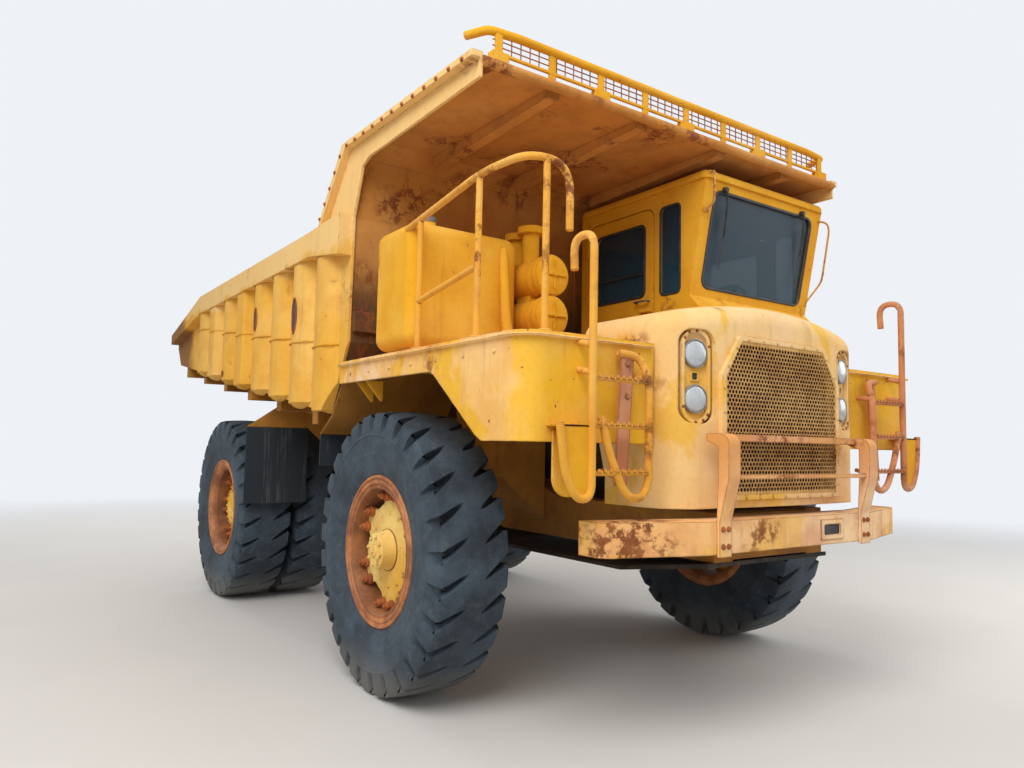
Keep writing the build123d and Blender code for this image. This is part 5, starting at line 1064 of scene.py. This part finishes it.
# Deck edges: a folded strip along the top, bolts below it, and gussets under the rear end
GUSSET = [(1.79, 2.012), (1.66, 2.012), (1.66, 1.875), (1.675, 1.875)]
for side, name in SIDES:
    edge_x = side * 1.8
    front_y = -3.8025
    edge = bent([(edge_x, -1.57, 2.14), (edge_x, front_y, 2.14), (side * 0.95, front_y, 2.14)], 0.15, 10)
    strip = [tube(edge, 0.026, 8, hint=(0, 0, 1), flat=0.28)]
    spots = [(edge_x, y, 2.07) for y in np.linspace(-1.75, -3.55, 7)]
    strip.append(heads(spots, (side, 0, 0), 0.010, 0.008))
    piece(f"deck_edge_{name}", "frame", strip, DECK_PAINT)
    gussets = [slab([(side * x, y, z) for x, z in GUSSET], (0, 0.012, 0)) for y in (-1.9875, -1.8375)]
    piece(f"deck_gussets_{name}", "frame", gussets, CAB_PAINT)

HAND_X, HAND_Z = -1.735, 3.09
grab = [
    (HAND_X, -2.425, 2.96), (HAND_X, -3.30, HAND_Z), (HAND_X + 0.02, -3.71, HAND_Z - 0.01),
    (-1.45, -3.71, HAND_Z - 0.02), (-1.45, -3.71, 2.72),
]  # fmt: skip
hand = [tube(bent(grab, 0.16, 9), TUBE_R, 12)]
for x, y, top in ((HAND_X, -2.60, 2.985), (HAND_X, -3.27, 3.085), (HAND_X + 0.13, -3.71, 3.085)):
    hand.append(tube([(x, y, 2.168), (x, y, top)], POST_R, 12))
    hand.append(spun([(0, 0.045), (0.012, 0.045), (0.02, 0.03)], (x, y, 2.165), (0, 0, 1), 12))
hand.append(tube([(HAND_X, -2.60, 2.47), (HAND_X, -3.27, 2.57)], POST_R, 12))
piece("deck_rail", "frame", hand, RAIL_PAINT, ["handrails"], 50)

# Canopy rail mesh: upright wires and two long ones, behind the posts
MESH_HALF, WIRE_R = 1.62, 0.004
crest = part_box("canopy_rail")
low_z, high_z, wire_y = crest[0][2] + 0.055, crest[1][2] - 0.05, crest[0][1] + 0.035
panels = np.linspace(-MESH_HALF, MESH_HALF, 9)
wires = []
for start, end in zip(panels[:-1], panels[1:]):
    for x in np.linspace(start, end, 7)[1:-1]:
        wires.append(tube([(x, wire_y, low_z), (x, wire_y, high_z)], WIRE_R, 5))
for z in (low_z + 0.05, high_z - 0.04):
    wires.append(tube([(-MESH_HALF, wire_y, z), (MESH_HALF, wire_y, z)], WIRE_R, 5))
piece("canopy_mesh", "bed", wires, RUSTY)

# Air cleaners: covers, bands and crossed handles, and a tapered drain pipe beside them
COVER = [(-0.032, 0.004), (-0.03, 0.05), (-0.02, 0.12), (-0.012, 0.136), (0.0, 0.136)]
BAND = np.array([(0, 0.1385), (0.022, 0.1385), (0.022, 0.131), (0, 0.131)])
cleaner = []
for z in (2.48, 2.762):
    at = np.array([-0.752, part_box("air_cleaners")[0][1], z])
    cleaner.append(spun(COVER, at, (0, 1, 0), 40))
    cleaner += [spun(BAND + (depth, 0), at, (0, 1, 0), 40, True) for depth in (0.03, 0.10, 0.40)]
    cleaner.append(tube([at + (-0.10, -0.035, 0), at + (0.10, -0.035, 0)], 0.009, 8))
    cleaner.append(tube([at + (0, -0.034, -0.10), at + (0, -0.034, 0.10)], 0.007, 8))
    cleaner.append(heads([at + (0, -0.034, 0)], (0, -1, 0), 0.016, 0.022))
piece("cleaner_fittings", "frame", cleaner, PAINT)
drain = [(-1.02, -2.60, 2.168), (-1.05, -2.56, 2.42), (-1.05, -2.52, 2.86), (-1.05, -2.52, 2.93)]
drain = bent(drain, 0.12, 8)
pipe = tube(drain, np.linspace(0.040, 0.024, len(drain)), 14)
piece("drain_pipe", "frame", [pipe], PAINT)
CAP = [(0, 0.062), (0.03, 0.062), (0.042, 0.05), (0.045, 0.004)]
cap = [spun(CAP, (-1.555, -2.353, 3.05), (0, 0, 1), 32)]
cap.append(tube([(-1.605, -2.353, 3.10), (-1.505, -2.353, 3.10)], 0.008, 8))
piece("tank_cap", "frame", cap, STEEL)

# Low guard rail beside the cowl
rail = [(0.285, -2.62, 2.46), (0.285, -2.64, 2.60), (0.285, -3.02, 2.56), (0.285, -3.06, 2.44)]
rail = bent(rail, 0.05, 6)
piece("cowl_rail", "frame", [tube(rail, 0.012, 10)], RAIL_PAINT)


# Camera, floor and light


BACKDROP, BACKDROP_STRENGTH = (0.93, 0.96, 1.0, 1), 0.92
WORLD_STRENGTH = 0.55  # for the light that the world gives
FLOOR_HALF, FLOOR_NEAR, FLOOR_FAR = 60, 7.0, 17.0  # from near to far the floor fades into the backdrop


def camera_matrix():
    """Turns a level camera looking along +Y by yaw, pitch and roll, in that order."""
    yaw, pitch, roll = (math.radians(a) for a in (CAMERA_YAW, CAMERA_PITCH, CAMERA_ROLL))
    ahead = np.array([math.sin(yaw) * math.cos(pitch), math.cos(yaw) * math.cos(pitch), math.sin(pitch)])
    right = np.array([math.cos(yaw), -math.sin(yaw), 0.0])
    up = np.cross(right, ahead)
    rolled_right = math.cos(roll) * right + math.sin(roll) * up
    rolled_up = -math.sin(roll) * right + math.cos(roll) * up
    matrix = np.eye(4)
    matrix[:3, 0], matrix[:3, 1], matrix[:3, 2], matrix[:3, 3] = rolled_right, rolled_up, -ahead, CAMERA_AT
    return Matrix(matrix.tolist())


def set_stage():
    scene = bpy.context.scene
    scene.view_settings.view_transform = "Standard"
    camera = bpy.data.objects.new("camera", bpy.data.cameras.new("camera"))
    scene.collection.objects.link(camera)
    camera.data.lens, camera.data.sensor_width = CAMERA_LENS, SENSOR_WIDTH
    camera.data.clip_end = 200
    camera.matrix_world = camera_matrix()
    scene.camera = camera
    floor_mesh = bpy.data.meshes.new("floor")
    corners = [(a * FLOOR_HALF, b * FLOOR_HALF, 0) for a, b in ((-1, -1), (1, -1), (1, 1), (-1, 1))]
    floor_mesh.from_pydata(corners, [], [(0, 1, 2, 3)])
    floor = bpy.data.objects.new("floor", floor_mesh)
    scene.collection.objects.link(floor)
    t = Tree("floor_pale")
    t.finish(t.mix(t.noise(0.6, 4), rgb(206, 202, 196), rgb(216, 212, 206)), 0.9)
    away = t.add("ShaderNodeVectorMath", {"operation": "LENGTH"}, i0=t.coords.outputs["Object"])
    to_camera = t.add("ShaderNodeLightPath").outputs["Is Camera Ray"]
    seen_far = t.times(t.ramp(away.outputs["Value"], FLOOR_NEAR, FLOOR_FAR), to_camera)
    sky = t.add("ShaderNodeEmission", Color=BACKDROP, Strength=BACKDROP_STRENGTH)
    both = t.add("ShaderNodeMixShader", i0=seen_far, i1=t.shader.outputs[0], i2=sky.outputs[0])
    t.links.new(both.outputs[0], t.nodes["Material Output"].inputs["Surface"])
    floor_mesh.materials.append(t.material)
    world = bpy.data.worlds.new("soft_studio")
    scene.world = world
    world.use_nodes = True
    tree = world.node_tree
    background = tree.nodes["Background"]
    path = tree.nodes.new("ShaderNodeLightPath")
    seen = tree.nodes.new("ShaderNodeMath")
    seen.operation, seen.use_clamp = "ADD", True
    tree.links.new(path.outputs["Is Camera Ray"], seen.inputs[0])
    both = tree.nodes.new("ShaderNodeMath")
    both.operation, both.use_clamp = "ADD", True
    tree.links.new(path.outputs["Is Glossy Ray"], both.inputs[0])
    tree.links.new(path.outputs["Is Transmission Ray"], both.inputs[1])
    tree.links.new(both.outputs[0], seen.inputs[1])
    strength = tree.nodes.new("ShaderNodeMapRange")
    tree.links.new(seen.outputs[0], strength.inputs[0])
    strength.inputs[3].default_value, strength.inputs[4].default_value = WORLD_STRENGTH, BACKDROP_STRENGTH
    background.inputs["Color"].default_value = BACKDROP
    tree.links.new(strength.outputs[0], background.inputs["Strength"])
    for name, energy, wide, at, turn in (
        ("key", 900, 7.0, (-7, -7, 9), (46, 0, -44)),
        ("fill", 420, 9.0, (8, -6, 6), (58, 0, 52)),
        ("back", 500, 9.0, (0, 10, 9), (-50, 0, 0)),
    ):
        lamp = bpy.data.lights.new(name, "AREA")
        lamp.energy, lamp.size, lamp.shape = energy, wide, "DISK"
        holder = bpy.data.objects.new(name, lamp)
        holder.location = at
        holder.rotation_euler = [math.radians(a) for a in turn]
        scene.collection.objects.link(holder)


set_stage()
